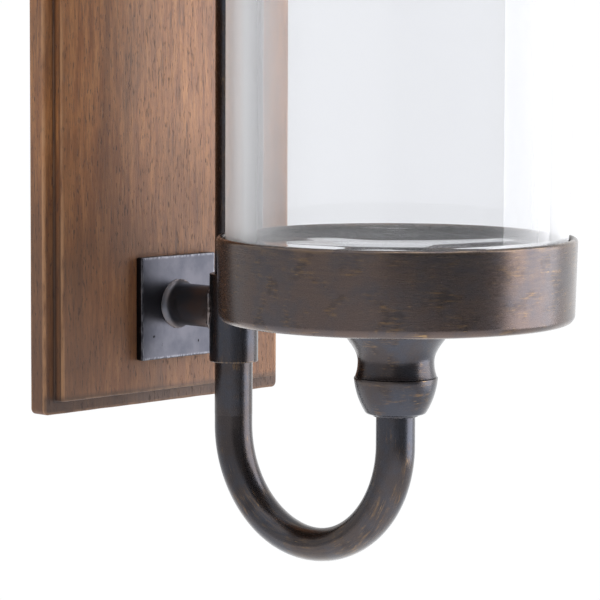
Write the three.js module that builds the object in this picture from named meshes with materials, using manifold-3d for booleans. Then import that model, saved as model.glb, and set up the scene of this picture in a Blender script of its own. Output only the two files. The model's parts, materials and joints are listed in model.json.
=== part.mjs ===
// Wall sconce candle holder.
// A stained board hangs on the wall and carries two welded steel brackets. A tube swivels in their
// collars, bends round in a hook under the board, and holds a turned neck and a round metal tray.
// A glass cylinder with a closed bottom stands in the tray, and a pillar candle goes inside it.
//
// Millimetres, +Z up. The wall is the plane y = 0 and the sconce reaches out towards -Y.
// The origin is the centre of the board's back face.

import * as THREE from 'three';
import { mergeVertices } from 'three/addons/utils/BufferGeometryUtils.js';
import Module from 'manifold-3d';

const wasm = await Module();
wasm.setup();

// ---------------------------------------------------------------- driving dimensions

// Clearances
const SEAT_GAP = 0.2; // between two faces that rest on each other
const FIT_GAP = 0.3; // radial, round a shaft or a screw in its hole
const GLASS_GAP = 0.5; // radial, between the glass and the tray's rim

// Board
const BOARD_WIDTH = 122.5;
const BOARD_HEIGHT = 460;
const BOARD_THICKNESS = 12;
const LEDGE_WIDTH = 5; // the step that runs round the raised field
const LEDGE_DEPTH = 4.4;
const BOARD_EASING = 1; // rounding of the board's outer edges
const FIELD_EASING = 1.4; // rounding of the raised field's edge

// Brackets, one near each end of the board
const BRACKET_FROM_END = 36.5; // plate centre to the end of the board
const PLATE_SIZE = 38.5;
const PLATE_THICKNESS = 3;
const PLATE_EASING = 0.4;
const STUB_RADIUS = 7.8;
const STUB_RAISE = 1; // the stub sits this far above the plate's centre
const PLATE_WELD = 2.4; // how far the weld fillet stands out from the stub at the plate
const COLLAR_WELD = 1; // and at the collar
const COLLAR_WALL = 1.7;
const COLLAR_LENGTH = 32.5;
const COLLAR_DROP = 2; // the collar's middle is this far below the plate's centre

// Arm
const TUBE_RADIUS = 7;
const TUBE_WALL = 1.5;
const ROD_STANDOFF = 32; // rod axis to the front of the board
const TRAY_TO_COLLAR = 7.5; // free space between the tray and the collars
const HOOK_FLATTENING = 0.12; // the tube goes oval as it is bent
const RIM_ABOVE_BOARD_END = 69; // tray rim to the bottom of the board
const SEAM_BELOW_RIM = 70.5; // where the straight rod meets the bent hook
const BEND_BELOW_RIM = 74.2; // centre of the bend
const PLUG_IN_HOOK = 3;
const PLUG_IN_ROD = 20;

// Neck
const NECK_LENGTH = 32.8;
const NECK_TOP_RADIUS = 21;
const NECK_WAIST_RADIUS = 13.55;
const NECK_RIDGE_RADIUS = 14.85;
const NECK_FOOT_RADIUS = 10.6;
const NECK_LIP = 0.9; // straight edge under the tray
const COVE_FLARE = 3.25; // how early the cove above the waist opens out
const WAIST_BELOW_TOP = 14.2;
const RIDGE_BELOW_TOP = 20;
const NECK_SOCKET_DEPTH = 14;

// Tray
const TRAY_RADIUS = 63.5;
const TRAY_HEIGHT = 29.8;
const TRAY_WALL = 2.7;
const TRAY_TAPER = 0.7; // the wall leans in by this much towards its bottom
const TRAY_BOTTOM_ROUND = 3;
const TRAY_LIP_OUTER = 1.6; // height of the rim's outer rounding
const TRAY_LIP_INNER = 1;
const RECESS_DEPTH = 8.6; // rim to the tray's inner floor
const FLOOR_THICKNESS = 3;
const SPACER_RADIUS = 9;
const SPACER_WALL = 3;
const FELT_THICKNESS = 1;
const FELT_WIDTH = 22;
const FELT_INSET = 6;
const TRAY_SCREW_RADIUS = 2.5;
const TRAY_SCREW_HEAD_RADIUS = 5;
const TRAY_SCREW_IN_NECK = 12;

// Glass
const GLASS_HEIGHT = 254;
const GLASS_WALL = 2.8;
const GLASS_BOTTOM = 4.2;
const GLASS_HEEL = 5; // outer rounding between wall and bottom
const GLASS_LIFT = 0.2;

// Finial
const FINIAL_BASE_RADIUS = 10.4;
const FINIAL_BASE_HEIGHT = 9;
const FINIAL_NECK_RADIUS = 4.2;
const FINIAL_NECK_HEIGHT = 1.5;
const FINIAL_SHOULDER = 2.5; // height of the curve from the base in to the neck
const FINIAL_BALL_RADIUS = 6.2;
const FINIAL_SOCKET_DEPTH = 7;
const SET_SCREW_RADIUS = 1.6;
const SWIVEL_WASHER_THICKNESS = 1;

// Fixings behind the board
const BOLT_RADIUS = 3;
const BOLT_HEAD_RADIUS = 5.8; // across the corners of the hexagon
const BOLT_HEAD_HEIGHT = 4;
const BOLT_IN_STUB = 12;
const WASHER_RADIUS = 9;
const WASHER_THICKNESS = 1.6;
const COUNTERBORE_DEPTH = 7;
const HANGER_SPACING = 300;
const HANGER_WIDTH = 20;
const HANGER_LENGTH = 52;
const HANGER_THICKNESS = 1.5;
const KEYHOLE_HEAD_RADIUS = 5;
const KEYHOLE_SLOT_RADIUS = 2.4;
const KEYHOLE_RISE = 10; // head hole to the top of the slot
const KEYHOLE_POCKET_DEPTH = 6.5;
const KEYHOLE_POCKET_MARGIN = 1;
const HANGER_SCREW_RADIUS = 1.5;
const HANGER_SCREW_HEAD_RADIUS = 3;
const HANGER_SCREW_LENGTH = 9;
const HANGER_SCREW_FROM_END = 6;

// Facets
const FINE = 48; // round the tray and the glass
const MEDIUM = 28; // round the tube, the neck and the collars
const COARSE = 16; // round screws and small holes
const CURVE_STEPS = 3; // points along each curve of a turned profile
const HOOK_SIDES = 20; // round the hook's tube
const HOOK_STEPS = 28; // along the hook

// ---------------------------------------------------------------- derived places

const FRONT = -BOARD_THICKNESS;
const PLATE_FRONT = FRONT - SEAT_GAP - PLATE_THICKNESS;
const ROD_Y = FRONT - ROD_STANDOFF;
const COLLAR_BORE = TUBE_RADIUS + FIT_GAP;
const COLLAR_RADIUS = COLLAR_BORE + COLLAR_WALL;
const HOOK_RADIUS = (TRAY_RADIUS + TRAY_TO_COLLAR + COLLAR_RADIUS) / 2; // centre line of the bend
const TRAY_Y = ROD_Y - 2 * HOOK_RADIUS;
const LOWER_BRACKET_Z = BRACKET_FROM_END - BOARD_HEIGHT / 2;
const UPPER_BRACKET_Z = BOARD_HEIGHT / 2 - BRACKET_FROM_END;
const RIM_Z = RIM_ABOVE_BOARD_END - BOARD_HEIGHT / 2;
const SEAM_Z = RIM_Z - SEAM_BELOW_RIM;
const BEND_Z = RIM_Z - BEND_BELOW_RIM;
const COLLAR_TOP_Z = UPPER_BRACKET_Z - COLLAR_DROP + COLLAR_LENGTH / 2;
const SWIVEL_WASHER_Z = COLLAR_TOP_Z + SEAT_GAP;
const FINIAL_Z = SWIVEL_WASHER_Z + SWIVEL_WASHER_THICKNESS + SEAT_GAP;
const ROD_TOP_Z = FINIAL_Z + FINIAL_SOCKET_DEPTH - SEAT_GAP;
const TRAY_BOTTOM_Z = RIM_Z - TRAY_HEIGHT;
const NECK_TOP_Z = TRAY_BOTTOM_Z - SEAT_GAP;
const NECK_FOOT_Z = NECK_TOP_Z - NECK_LENGTH;
const HOOK_END_Z = NECK_FOOT_Z + NECK_SOCKET_DEPTH - SEAT_GAP;
const RECESS_RADIUS = TRAY_RADIUS - TRAY_WALL;
const FLOOR_Z = RIM_Z - RECESS_DEPTH;
const FELT_Z = FLOOR_Z + SEAT_GAP;
const GLASS_Z = FELT_Z + FELT_THICKNESS + GLASS_LIFT;
const GLASS_RADIUS = RECESS_RADIUS - GLASS_GAP;
const HEAD_SEAT_Y = -COUNTERBORE_DEPTH;
const COUNTERBORE_RADIUS = WASHER_RADIUS + 1;
const HANGER_HEIGHTS = [HANGER_SPACING / 2, -HANGER_SPACING / 2];

// ---------------------------------------------------------------- materials

function finish(colour, roughness, metalness, more = {}) {
  return new THREE.MeshStandardMaterial({ color: colour, roughness, metalness, ...more });
}

const STAINED_WOOD = finish(0x7b563f, 0.55, 0);
const DARK_BRONZE = finish(0x3b322c, 0.38, 0.85);
const BLUED_STEEL = finish(0x6c7079, 0.3, 0.9);
const ZINC_STEEL = finish(0xb9bcc0, 0.35, 0.9);
const BRASS = finish(0xb08d57, 0.35, 0.9);
const BLACK_FELT = finish(0x1c1b1a, 0.95, 0);
const CLEAR_GLASS = finish(0xf2f5f5, 0.05, 0, { transparent: true, opacity: 0.35 });

// ---------------------------------------------------------------- shape helpers

// A manifold solid from a three.js geometry, for cutting and joining.
function solid(geometry) {
  const bare = geometry.clone();
  bare.deleteAttribute('normal');
  bare.deleteAttribute('uv');
  const merged = mergeVertices(bare, 1e-4);
  return new wasm.Manifold(new wasm.Mesh({
    numProp: 3,
    vertProperties: new Float32Array(merged.attributes.position.array),
    triVerts: new Uint32Array(merged.index.array),
  }));
}

// A three.js geometry from a manifold solid.
function geometryOf(shape) {
  const mesh = shape.getMesh();
  const geometry = new THREE.BufferGeometry();
  geometry.setAttribute('position', new THREE.BufferAttribute(mesh.vertProperties, 3));
  geometry.setIndex(new THREE.BufferAttribute(mesh.triVerts, 1));
  geometry.computeVertexNormals();
  return geometry;
}

// The first geometry with all the others cut out of it.
function cut(geometry, ...tools) {
  return geometryOf(tools.reduce((rest, tool) => rest.subtract(solid(tool)), solid(geometry)));
}

// Several geometries joined into one body.
function join(geometry, ...others) {
  return geometryOf(others.reduce((whole, other) => whole.add(solid(other)), solid(geometry)));
}

// A profile of (radius, height) points turned round the Z axis.
function turned(points, facets) {
  return new THREE.LatheGeometry(points, facets).rotateX(Math.PI / 2);
}

// Points of a two-dimensional outline for turned().
function profile(...pairs) {
  return pairs.map(([radius, height]) => new THREE.Vector2(radius, height));
}

// A solid cylinder from low to high along Z.
function bar(radius, low, high, facets = MEDIUM) {
  return turned(profile([0, low], [radius, low], [radius, high], [0, high]), facets);
}

// A hollow cylinder from low to high along Z.
function tube(radius, bore, low, high, facets = MEDIUM) {
  return turned(profile([bore, low], [radius, low], [radius, high], [bore, high], [bore, low]), facets);
}

// A shape drawn in X and Z, extruded from the plane y = back towards -Y.
// The easing rounds the edges of both faces.
function slab(shape, back, thickness, easing = 0) {
  const geometry = new THREE.ExtrudeGeometry(shape, {
    depth: thickness - 2 * easing,
    curveSegments: 6,
    bevelEnabled: easing > 0,
    bevelThickness: easing,
    bevelSize: easing,
    bevelOffset: -easing,
    bevelSegments: 2,
  });
  return geometry.translate(0, 0, easing).rotateX(Math.PI / 2).translate(0, back, 0);
}

// A cylinder along Y, starting at the plane y = back and running towards -Y.
function pegY(radius, back, length, z, facets = COARSE) {
  return bar(radius, 0, length, facets).rotateX(Math.PI / 2).translate(0, back, z);
}

// A rectangle centred on (0, middle) in the slab's own plane.
function rectangle(width, height, middle = 0) {
  const shape = new THREE.Shape();
  shape.moveTo(-width / 2, middle - height / 2);
  shape.lineTo(width / 2, middle - height / 2);
  shape.lineTo(width / 2, middle + height / 2);
  shape.lineTo(-width / 2, middle + height / 2);
  shape.closePath();
  return shape;
}

// A keyhole: a round head hole at the bottom with a narrower slot rising from it.
function keyhole(path, headRadius, slotRadius, rise, z) {
  const opening = Math.asin(slotRadius / headRadius);
  path.absarc(0, z, headRadius, Math.PI / 2 + opening, Math.PI / 2 - opening + 2 * Math.PI, false);
  path.lineTo(slotRadius, z + rise);
  path.absarc(0, z + rise, slotRadius, 0, Math.PI, false);
  path.closePath();
  return path;
}

const sconce = new THREE.Group();

// Add one named piece to a group.
function add(group, name, geometry, material) {
  const mesh = new THREE.Mesh(geometry, material);
  mesh.name = name;
  group.add(mesh);
  return mesh;
}

// ---------------------------------------------------------------- board

// Places of the two wood screws of a keyhole hanger, above and below its middle.
function hangerScrewHeights(z) {
  const reach = HANGER_LENGTH / 2 - HANGER_SCREW_FROM_END;
  return [z + reach, z - reach];
}

// The board: a slab with a raised field, bored for the bolts and pocketed for the hangers.
function boardGeometry() {
  const field = rectangle(BOARD_WIDTH - 2 * LEDGE_WIDTH, BOARD_HEIGHT - 2 * LEDGE_WIDTH);
  const fieldBack = -(BOARD_THICKNESS - LEDGE_DEPTH) / 2;
  let board = join(
    slab(rectangle(BOARD_WIDTH, BOARD_HEIGHT), 0, BOARD_THICKNESS - LEDGE_DEPTH, BOARD_EASING),
    slab(field, fieldBack, BOARD_THICKNESS + fieldBack, FIELD_EASING),
  );
  for (const z of [LOWER_BRACKET_Z, UPPER_BRACKET_Z]) {
    const boltZ = z + STUB_RAISE;
    board = cut(
      board,
      pegY(BOLT_RADIUS + FIT_GAP, 1, BOARD_THICKNESS + 2, boltZ),
      pegY(COUNTERBORE_RADIUS, 1, COUNTERBORE_DEPTH + 1, boltZ, MEDIUM),
    );
  }
  for (const z of HANGER_HEIGHTS) {
    const seat = rectangle(HANGER_WIDTH + 2 * FIT_GAP, HANGER_LENGTH + 2 * FIT_GAP, z);
    const pocketWidth = 2 * (KEYHOLE_HEAD_RADIUS + KEYHOLE_POCKET_MARGIN);
    const pocket = rectangle(pocketWidth, KEYHOLE_RISE + pocketWidth, z + KEYHOLE_RISE / 2);
    board = cut(
      board,
      slab(seat, 1, HANGER_THICKNESS + 2 * SEAT_GAP + 1),
      slab(pocket, 1, KEYHOLE_POCKET_DEPTH + 1),
      ...hangerScrewHeights(z).map((height) => pegY(
        HANGER_SCREW_RADIUS + FIT_GAP, 1, HANGER_SCREW_LENGTH + 1 + 2 * SEAT_GAP + FIT_GAP, height,
      )),
    );
  }
  return board;
}

// ---------------------------------------------------------------- brackets

// The square plate, flat on the board, with a hole for the bolt.
function plateGeometry() {
  return cut(
    slab(rectangle(PLATE_SIZE, PLATE_SIZE), 0, PLATE_THICKNESS, PLATE_EASING),
    pegY(BOLT_RADIUS + FIT_GAP, 1, PLATE_THICKNESS + 2, STUB_RAISE),
  );
}

// The round stub between plate and collar, with a weld fillet at each end, tapped for the bolt.
function stubGeometry(length) {
  const foot = STUB_RADIUS + PLATE_WELD;
  const collarEnd = STUB_RADIUS + COLLAR_WELD;
  const outline = new THREE.Path();
  outline.moveTo(0, 0);
  outline.lineTo(foot, 0);
  outline.quadraticCurveTo(foot - PLATE_WELD / 3, PLATE_WELD, STUB_RADIUS, 1.5 * PLATE_WELD);
  outline.lineTo(STUB_RADIUS, length - 2 * COLLAR_WELD);
  outline.lineTo(collarEnd, length);
  outline.lineTo(collarEnd, length + COLLAR_RADIUS);
  outline.lineTo(0, length + COLLAR_RADIUS);
  return turned(outline.getPoints(CURVE_STEPS), MEDIUM).rotateX(Math.PI / 2);
}

// The stub cut to the collar's round and bored for the bolt.
function fittedStubGeometry() {
  const length = PLATE_FRONT - SEAT_GAP - (ROD_Y + COLLAR_RADIUS);
  const collarZ = -COLLAR_DROP - STUB_RAISE;
  const collarSpace = bar(COLLAR_RADIUS + SEAT_GAP, collarZ - COLLAR_LENGTH, collarZ + COLLAR_LENGTH)
    .translate(0, -length - COLLAR_RADIUS, 0);
  const beyond = new THREE.BoxGeometry(4 * COLLAR_RADIUS, 2 * COLLAR_RADIUS, 4 * COLLAR_RADIUS)
    .translate(0, -length - 1.6 * COLLAR_RADIUS, 0);
  const bolt = pegY(BOLT_RADIUS + FIT_GAP, 1, BOLT_IN_STUB + 1 + FIT_GAP, 0);
  return cut(stubGeometry(length), collarSpace, beyond, bolt);
}

function collarGeometry() {
  return tube(COLLAR_RADIUS, COLLAR_BORE, -COLLAR_LENGTH / 2, COLLAR_LENGTH / 2);
}

// Hexagon bolt: the head's face is at y = 0 and the shank runs towards -Y.
function boltGeometry() {
  const reach = WASHER_THICKNESS + (BOARD_THICKNESS - COUNTERBORE_DEPTH) + PLATE_THICKNESS + 4 * SEAT_GAP;
  const head = pegY(BOLT_HEAD_RADIUS, BOLT_HEAD_HEIGHT, BOLT_HEAD_HEIGHT, 0, 6);
  const shank = pegY(BOLT_RADIUS, 1, reach + BOLT_IN_STUB + 1, 0);
  return join(head, shank);
}

function bracket(group, end, z) {
  const boltZ = z + STUB_RAISE;
  const washerY = HEAD_SEAT_Y + SEAT_GAP;
  add(group, `${end}_wall_plate`, plateGeometry(), BLUED_STEEL)
    .position.set(0, FRONT - SEAT_GAP, z);
  add(group, `${end}_stub`, fittedStubGeometry(), DARK_BRONZE)
    .position.set(0, PLATE_FRONT - SEAT_GAP, boltZ);
  add(group, `${end}_collar`, collarGeometry(), DARK_BRONZE)
    .position.set(0, ROD_Y, z - COLLAR_DROP);
  const washer = tube(WASHER_RADIUS, BOLT_RADIUS + FIT_GAP, 0, WASHER_THICKNESS).rotateX(Math.PI / 2);
  add(group, `${end}_washer`, washer, ZINC_STEEL)
    .position.set(0, washerY + WASHER_THICKNESS, boltZ);
  add(group, `${end}_bolt`, boltGeometry(), ZINC_STEEL)
    .position.set(0, washerY + WASHER_THICKNESS + SEAT_GAP, boltZ);
}

// ---------------------------------------------------------------- hangers

// A steel plate with a keyhole, let into the board's back.
function hangerGeometry() {
  const outline = rectangle(HANGER_WIDTH, HANGER_LENGTH);
  outline.holes.push(keyhole(new THREE.Path(), KEYHOLE_HEAD_RADIUS, KEYHOLE_SLOT_RADIUS, KEYHOLE_RISE, 0));
  const holes = hangerScrewHeights(0).map(
    (z) => countersink(HANGER_SCREW_RADIUS + FIT_GAP, HANGER_SCREW_HEAD_RADIUS + FIT_GAP, HANGER_THICKNESS)
      .rotateX(Math.PI / 2).translate(0, 0, z),
  );
  return cut(slab(outline, 0, HANGER_THICKNESS), ...holes);
}

// The space of a countersunk hole: its mouth is at z = 0 and it goes through towards +Z.
function countersink(radius, headRadius, thickness) {
  return turned(
    profile([0, -1], [headRadius, -1], [headRadius, 0], [radius, headRadius - radius],
      [radius, thickness + headRadius], [0, thickness + headRadius]),
    COARSE,
  );
}

// A countersunk screw: its flat head is at z = 0 and its tip points towards +Z.
function countersunkScrew(radius, headRadius, length) {
  return turned(
    profile([0, 0], [headRadius, 0], [radius, headRadius - radius], [radius, length - radius],
      [radius / 3, length], [0, length]),
    COARSE,
  );
}

function hanger(group, end, z) {
  add(group, `${end}_hanger`, hangerGeometry(), ZINC_STEEL).position.set(0, -SEAT_GAP, z);
  const screw = countersunkScrew(HANGER_SCREW_RADIUS, HANGER_SCREW_HEAD_RADIUS, HANGER_SCREW_LENGTH);
  screw.rotateX(Math.PI / 2);
  hangerScrewHeights(z).forEach((height, index) => {
    const name = `${end}_hanger_screw_${index + 1}`;
    add(group, name, screw, ZINC_STEEL).position.set(0, -2 * SEAT_GAP, height);
  });
}

// ---------------------------------------------------------------- arm

// The hook's centre line: down from the seam, round half a turn, and up into the neck.
class HookLine extends THREE.Curve {
  constructor() {
    super();
    this.down = SEAM_Z - SEAT_GAP - BEND_Z;
    this.bend = Math.PI * HOOK_RADIUS;
    this.up = HOOK_END_Z - BEND_Z;
  }

  getPoint(t, target = new THREE.Vector3()) {
    const along = t * (this.down + this.bend + this.up);
    const middle = ROD_Y - HOOK_RADIUS;
    if (along < this.down) return target.set(0, ROD_Y, BEND_Z + this.down - along);
    if (along > this.down + this.bend) {
      return target.set(0, TRAY_Y, BEND_Z + along - this.down - this.bend);
    }
    const angle = (along - this.down) / HOOK_RADIUS;
    return target.set(0, middle + HOOK_RADIUS * Math.cos(angle), BEND_Z - HOOK_RADIUS * Math.sin(angle));
  }
}

// Flatten the bent stretch across its own plane and widen it sideways, most at its lowest point.
function flattenBend(geometry) {
  const places = geometry.attributes.position;
  const point = new THREE.Vector3();
  for (let index = 0; index < places.count; index += 1) {
    point.fromBufferAttribute(places, index);
    const y = point.y - (ROD_Y - HOOK_RADIUS);
    const z = point.z - BEND_Z;
    if (z < 0) {
      const reach = Math.hypot(y, z);
      const amount = HOOK_FLATTENING * (z / reach) ** 2;
      const flattened = HOOK_RADIUS + (reach - HOOK_RADIUS) * (1 - amount);
      point.x *= 1 + amount / 2;
      point.y += y * (flattened / reach - 1);
      point.z += z * (flattened / reach - 1);
      places.setXYZ(index, point.x, point.y, point.z);
    }
  }
  return geometry;
}

function hookGeometry() {
  const section = new THREE.Shape().absarc(0, 0, TUBE_RADIUS, 0, 2 * Math.PI, false);
  section.holes.push(new THREE.Path().absarc(0, 0, TUBE_RADIUS - TUBE_WALL, 0, 2 * Math.PI, true));
  const geometry = new THREE.ExtrudeGeometry(section, {
    steps: HOOK_STEPS,
    curveSegments: HOOK_SIDES / 2,
    bevelEnabled: false,
    extrudePath: new HookLine(),
  });
  return flattenBend(geometry);
}

function rodGeometry() {
  return tube(TUBE_RADIUS, TUBE_RADIUS - TUBE_WALL, SEAM_Z, ROD_TOP_Z);
}

// The plug that keeps rod and hook in line inside their seam.
function plugGeometry() {
  const radius = TUBE_RADIUS - TUBE_WALL - FIT_GAP;
  return bar(radius, SEAM_Z - PLUG_IN_HOOK, SEAM_Z + PLUG_IN_ROD, COARSE);
}

// The neck, measured from its top: a lip, a cove down to the waist, a ridge and a rounded cup,
// with a socket for the hook's end below and a screw hole from the socket to the top.
function neckGeometry() {
  const screwHole = TRAY_SCREW_RADIUS + FIT_GAP;
  const socket = TUBE_RADIUS + FIT_GAP;
  const cupMiddle = (NECK_RIDGE_RADIUS + NECK_FOOT_RADIUS) / 2;
  const outline = new THREE.Path();
  outline.moveTo(screwHole, NECK_SOCKET_DEPTH - NECK_LENGTH);
  outline.lineTo(socket, NECK_SOCKET_DEPTH - NECK_LENGTH);
  outline.lineTo(socket, -NECK_LENGTH);
  outline.lineTo(NECK_FOOT_RADIUS - 1, -NECK_LENGTH);
  outline.quadraticCurveTo(NECK_FOOT_RADIUS, -NECK_LENGTH, NECK_FOOT_RADIUS + 0.6, 1.2 - NECK_LENGTH);
  outline.quadraticCurveTo(cupMiddle + 1.5, -(NECK_LENGTH + RIDGE_BELOW_TOP) / 2,
    NECK_RIDGE_RADIUS, -RIDGE_BELOW_TOP);
  outline.quadraticCurveTo(NECK_WAIST_RADIUS, -(WAIST_BELOW_TOP + RIDGE_BELOW_TOP) / 2,
    NECK_WAIST_RADIUS, -WAIST_BELOW_TOP);
  outline.bezierCurveTo(
    NECK_WAIST_RADIUS, -0.7 * WAIST_BELOW_TOP,
    NECK_WAIST_RADIUS + COVE_FLARE, -0.535 * WAIST_BELOW_TOP,
    NECK_TOP_RADIUS, -NECK_LIP,
  );
  outline.lineTo(NECK_TOP_RADIUS, 0);
  outline.lineTo(screwHole, 0);
  outline.closePath();
  return turned(outline.getPoints(CURVE_STEPS), MEDIUM);
}

// The tray's outer pan, measured from its rim.
function trayGeometry() {
  const bottomRadius = TRAY_RADIUS - TRAY_TAPER;
  const hole = TRAY_SCREW_RADIUS + FIT_GAP;
  const outline = new THREE.Path();
  outline.moveTo(hole, -TRAY_HEIGHT);
  outline.lineTo(bottomRadius - TRAY_BOTTOM_ROUND, -TRAY_HEIGHT);
  outline.absarc(bottomRadius - TRAY_BOTTOM_ROUND, TRAY_BOTTOM_ROUND - TRAY_HEIGHT, TRAY_BOTTOM_ROUND,
    -Math.PI / 2, 0, false);
  outline.lineTo(TRAY_RADIUS, -TRAY_LIP_OUTER);
  outline.quadraticCurveTo(TRAY_RADIUS, 0, TRAY_RADIUS - TRAY_WALL / 2, 0);
  outline.quadraticCurveTo(RECESS_RADIUS, 0, RECESS_RADIUS, -TRAY_LIP_INNER);
  outline.lineTo(RECESS_RADIUS, -RECESS_DEPTH - FLOOR_THICKNESS - SEAT_GAP);
  outline.lineTo(RECESS_RADIUS - TRAY_TAPER - TRAY_WALL, TRAY_WALL - TRAY_HEIGHT + TRAY_WALL);
  outline.lineTo(RECESS_RADIUS - TRAY_TAPER - 2 * TRAY_WALL, TRAY_WALL - TRAY_HEIGHT);
  outline.lineTo(hole, TRAY_WALL - TRAY_HEIGHT);
  outline.closePath();
  return turned(outline.getPoints(CURVE_STEPS), FINE);
}

// The inner floor disc, measured from its top, countersunk for the screw.
function floorGeometry() {
  const disc = bar(RECESS_RADIUS - FIT_GAP, -FLOOR_THICKNESS, 0, FINE);
  const hole = countersink(TRAY_SCREW_RADIUS + FIT_GAP, TRAY_SCREW_HEAD_RADIUS + FIT_GAP, FLOOR_THICKNESS);
  return cut(disc, hole.rotateX(Math.PI));
}

function traySpacerGeometry() {
  const low = TRAY_WALL - TRAY_HEIGHT + SEAT_GAP;
  const high = -RECESS_DEPTH - FLOOR_THICKNESS - SEAT_GAP;
  return tube(SPACER_RADIUS, SPACER_RADIUS - SPACER_WALL, low, high, COARSE);
}

function trayScrewGeometry() {
  const length = TRAY_HEIGHT - RECESS_DEPTH + TRAY_SCREW_IN_NECK;
  return countersunkScrew(TRAY_SCREW_RADIUS, TRAY_SCREW_HEAD_RADIUS, length).rotateX(Math.PI);
}

function feltGeometry() {
  const outer = GLASS_RADIUS - FELT_INSET;
  return tube(outer, outer - FELT_WIDTH, 0, FELT_THICKNESS, MEDIUM);
}

// The finial, measured from its foot: a base bored for the rod's end, a thin neck and a ball.
function finialGeometry() {
  const neckTop = FINIAL_BASE_HEIGHT + FINIAL_NECK_HEIGHT;
  const start = -Math.acos(FINIAL_NECK_RADIUS / FINIAL_BALL_RADIUS);
  const ballZ = neckTop - FINIAL_BALL_RADIUS * Math.sin(start);
  const socket = TUBE_RADIUS + FIT_GAP;
  const outline = new THREE.Path();
  outline.moveTo(0, FINIAL_SOCKET_DEPTH);
  outline.lineTo(socket, FINIAL_SOCKET_DEPTH);
  outline.lineTo(socket, 0);
  outline.lineTo(FINIAL_BASE_RADIUS, 0);
  outline.lineTo(FINIAL_BASE_RADIUS, FINIAL_BASE_HEIGHT - FINIAL_SHOULDER);
  outline.quadraticCurveTo(FINIAL_BASE_RADIUS, FINIAL_BASE_HEIGHT, FINIAL_NECK_RADIUS, FINIAL_BASE_HEIGHT);
  outline.lineTo(FINIAL_NECK_RADIUS, neckTop);
  outline.absarc(0, ballZ, FINIAL_BALL_RADIUS, start, Math.PI / 2, false);
  const body = turned(outline.getPoints(CURVE_STEPS), MEDIUM);
  const screwHole = pegY(SET_SCREW_RADIUS + FIT_GAP, 0, 2 * FINIAL_BASE_RADIUS, FINIAL_SOCKET_DEPTH / 2);
  return cut(body, screwHole);
}

function setScrewGeometry() {
  const length = FINIAL_BASE_RADIUS - TUBE_RADIUS - 2 * SEAT_GAP;
  return pegY(SET_SCREW_RADIUS, -TUBE_RADIUS - SEAT_GAP, length, FINIAL_SOCKET_DEPTH / 2);
}

function swivelWasherGeometry() {
  return tube(COLLAR_RADIUS, TUBE_RADIUS + FIT_GAP, 0, SWIVEL_WASHER_THICKNESS);
}

// ---------------------------------------------------------------- glass

// The glass cylinder, measured from its base: closed bottom with a rounded heel, fire-polished rim.
function glassGeometry() {
  const bore = GLASS_RADIUS - GLASS_WALL;
  const innerHeel = GLASS_HEEL - GLASS_WALL;
  const rimRound = GLASS_WALL / 2;
  const outline = new THREE.Path();
  outline.moveTo(0, 0);
  outline.lineTo(GLASS_RADIUS - GLASS_HEEL, 0);
  outline.absarc(GLASS_RADIUS - GLASS_HEEL, GLASS_HEEL, GLASS_HEEL, -Math.PI / 2, 0, false);
  outline.lineTo(GLASS_RADIUS, GLASS_HEIGHT - rimRound);
  outline.absarc(GLASS_RADIUS - rimRound, GLASS_HEIGHT - rimRound, rimRound, 0, Math.PI, false);
  outline.lineTo(bore, GLASS_BOTTOM + innerHeel);
  outline.absarc(bore - innerHeel, GLASS_BOTTOM + innerHeel, innerHeel, 0, -Math.PI / 2, true);
  outline.lineTo(0, GLASS_BOTTOM);
  return turned(outline.getPoints(CURVE_STEPS), FINE);
}

// ---------------------------------------------------------------- assembly

const wall = new THREE.Group();
add(wall, 'backboard', boardGeometry(), STAINED_WOOD);
bracket(wall, 'lower', LOWER_BRACKET_Z);
bracket(wall, 'upper', UPPER_BRACKET_Z);
hanger(wall, 'upper', HANGER_HEIGHTS[0]);
hanger(wall, 'lower', HANGER_HEIGHTS[1]);
sconce.add(wall);

const arm = new THREE.Group();
add(arm, 'rod', rodGeometry(), DARK_BRONZE).position.set(0, ROD_Y, 0);
add(arm, 'rod_plug', plugGeometry(), ZINC_STEEL).position.set(0, ROD_Y, 0);
add(arm, 'swivel_washer', swivelWasherGeometry(), BRASS).position.set(0, ROD_Y, SWIVEL_WASHER_Z);
add(arm, 'finial', finialGeometry(), DARK_BRONZE).position.set(0, ROD_Y, FINIAL_Z);
add(arm, 'finial_set_screw', setScrewGeometry(), ZINC_STEEL).position.set(0, ROD_Y, FINIAL_Z);
add(arm, 'hook', hookGeometry(), DARK_BRONZE);
add(arm, 'neck', neckGeometry(), DARK_BRONZE).position.set(0, TRAY_Y, NECK_TOP_Z);
add(arm, 'tray', trayGeometry(), DARK_BRONZE).position.set(0, TRAY_Y, RIM_Z);
add(arm, 'tray_spacer', traySpacerGeometry(), ZINC_STEEL).position.set(0, TRAY_Y, RIM_Z);
add(arm, 'tray_floor', floorGeometry(), DARK_BRONZE).position.set(0, TRAY_Y, FLOOR_Z);
add(arm, 'tray_screw', trayScrewGeometry(), ZINC_STEEL).position.set(0, TRAY_Y, FLOOR_Z);
add(arm, 'felt_ring', feltGeometry(), BLACK_FELT).position.set(0, TRAY_Y, FELT_Z);
sconce.add(arm);

add(sconce, 'glass', glassGeometry(), CLEAR_GLASS).position.set(0, TRAY_Y, GLASS_Z);

export default sconce;
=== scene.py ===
# %% [markdown]
# # A wall sconce candle holder
# A stained board hangs on a wall. Two small steel brackets hold an upright tube, which turns in their
# collars, runs down past the board and bends round in a hook. The hook's end carries a turned neck and
# a round pan, and a glass cylinder with a closed bottom stands in the pan. Here every one of those
# pieces gets the surface that it has in the hand: eased edges, weld beads, brushed and rubbed metal,
# open-pored wood. The frame already says where everything is, so the first step is to load it.

# %% The frame
import json
import math

import bpy
import numpy as np
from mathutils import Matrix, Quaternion, Vector


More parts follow.
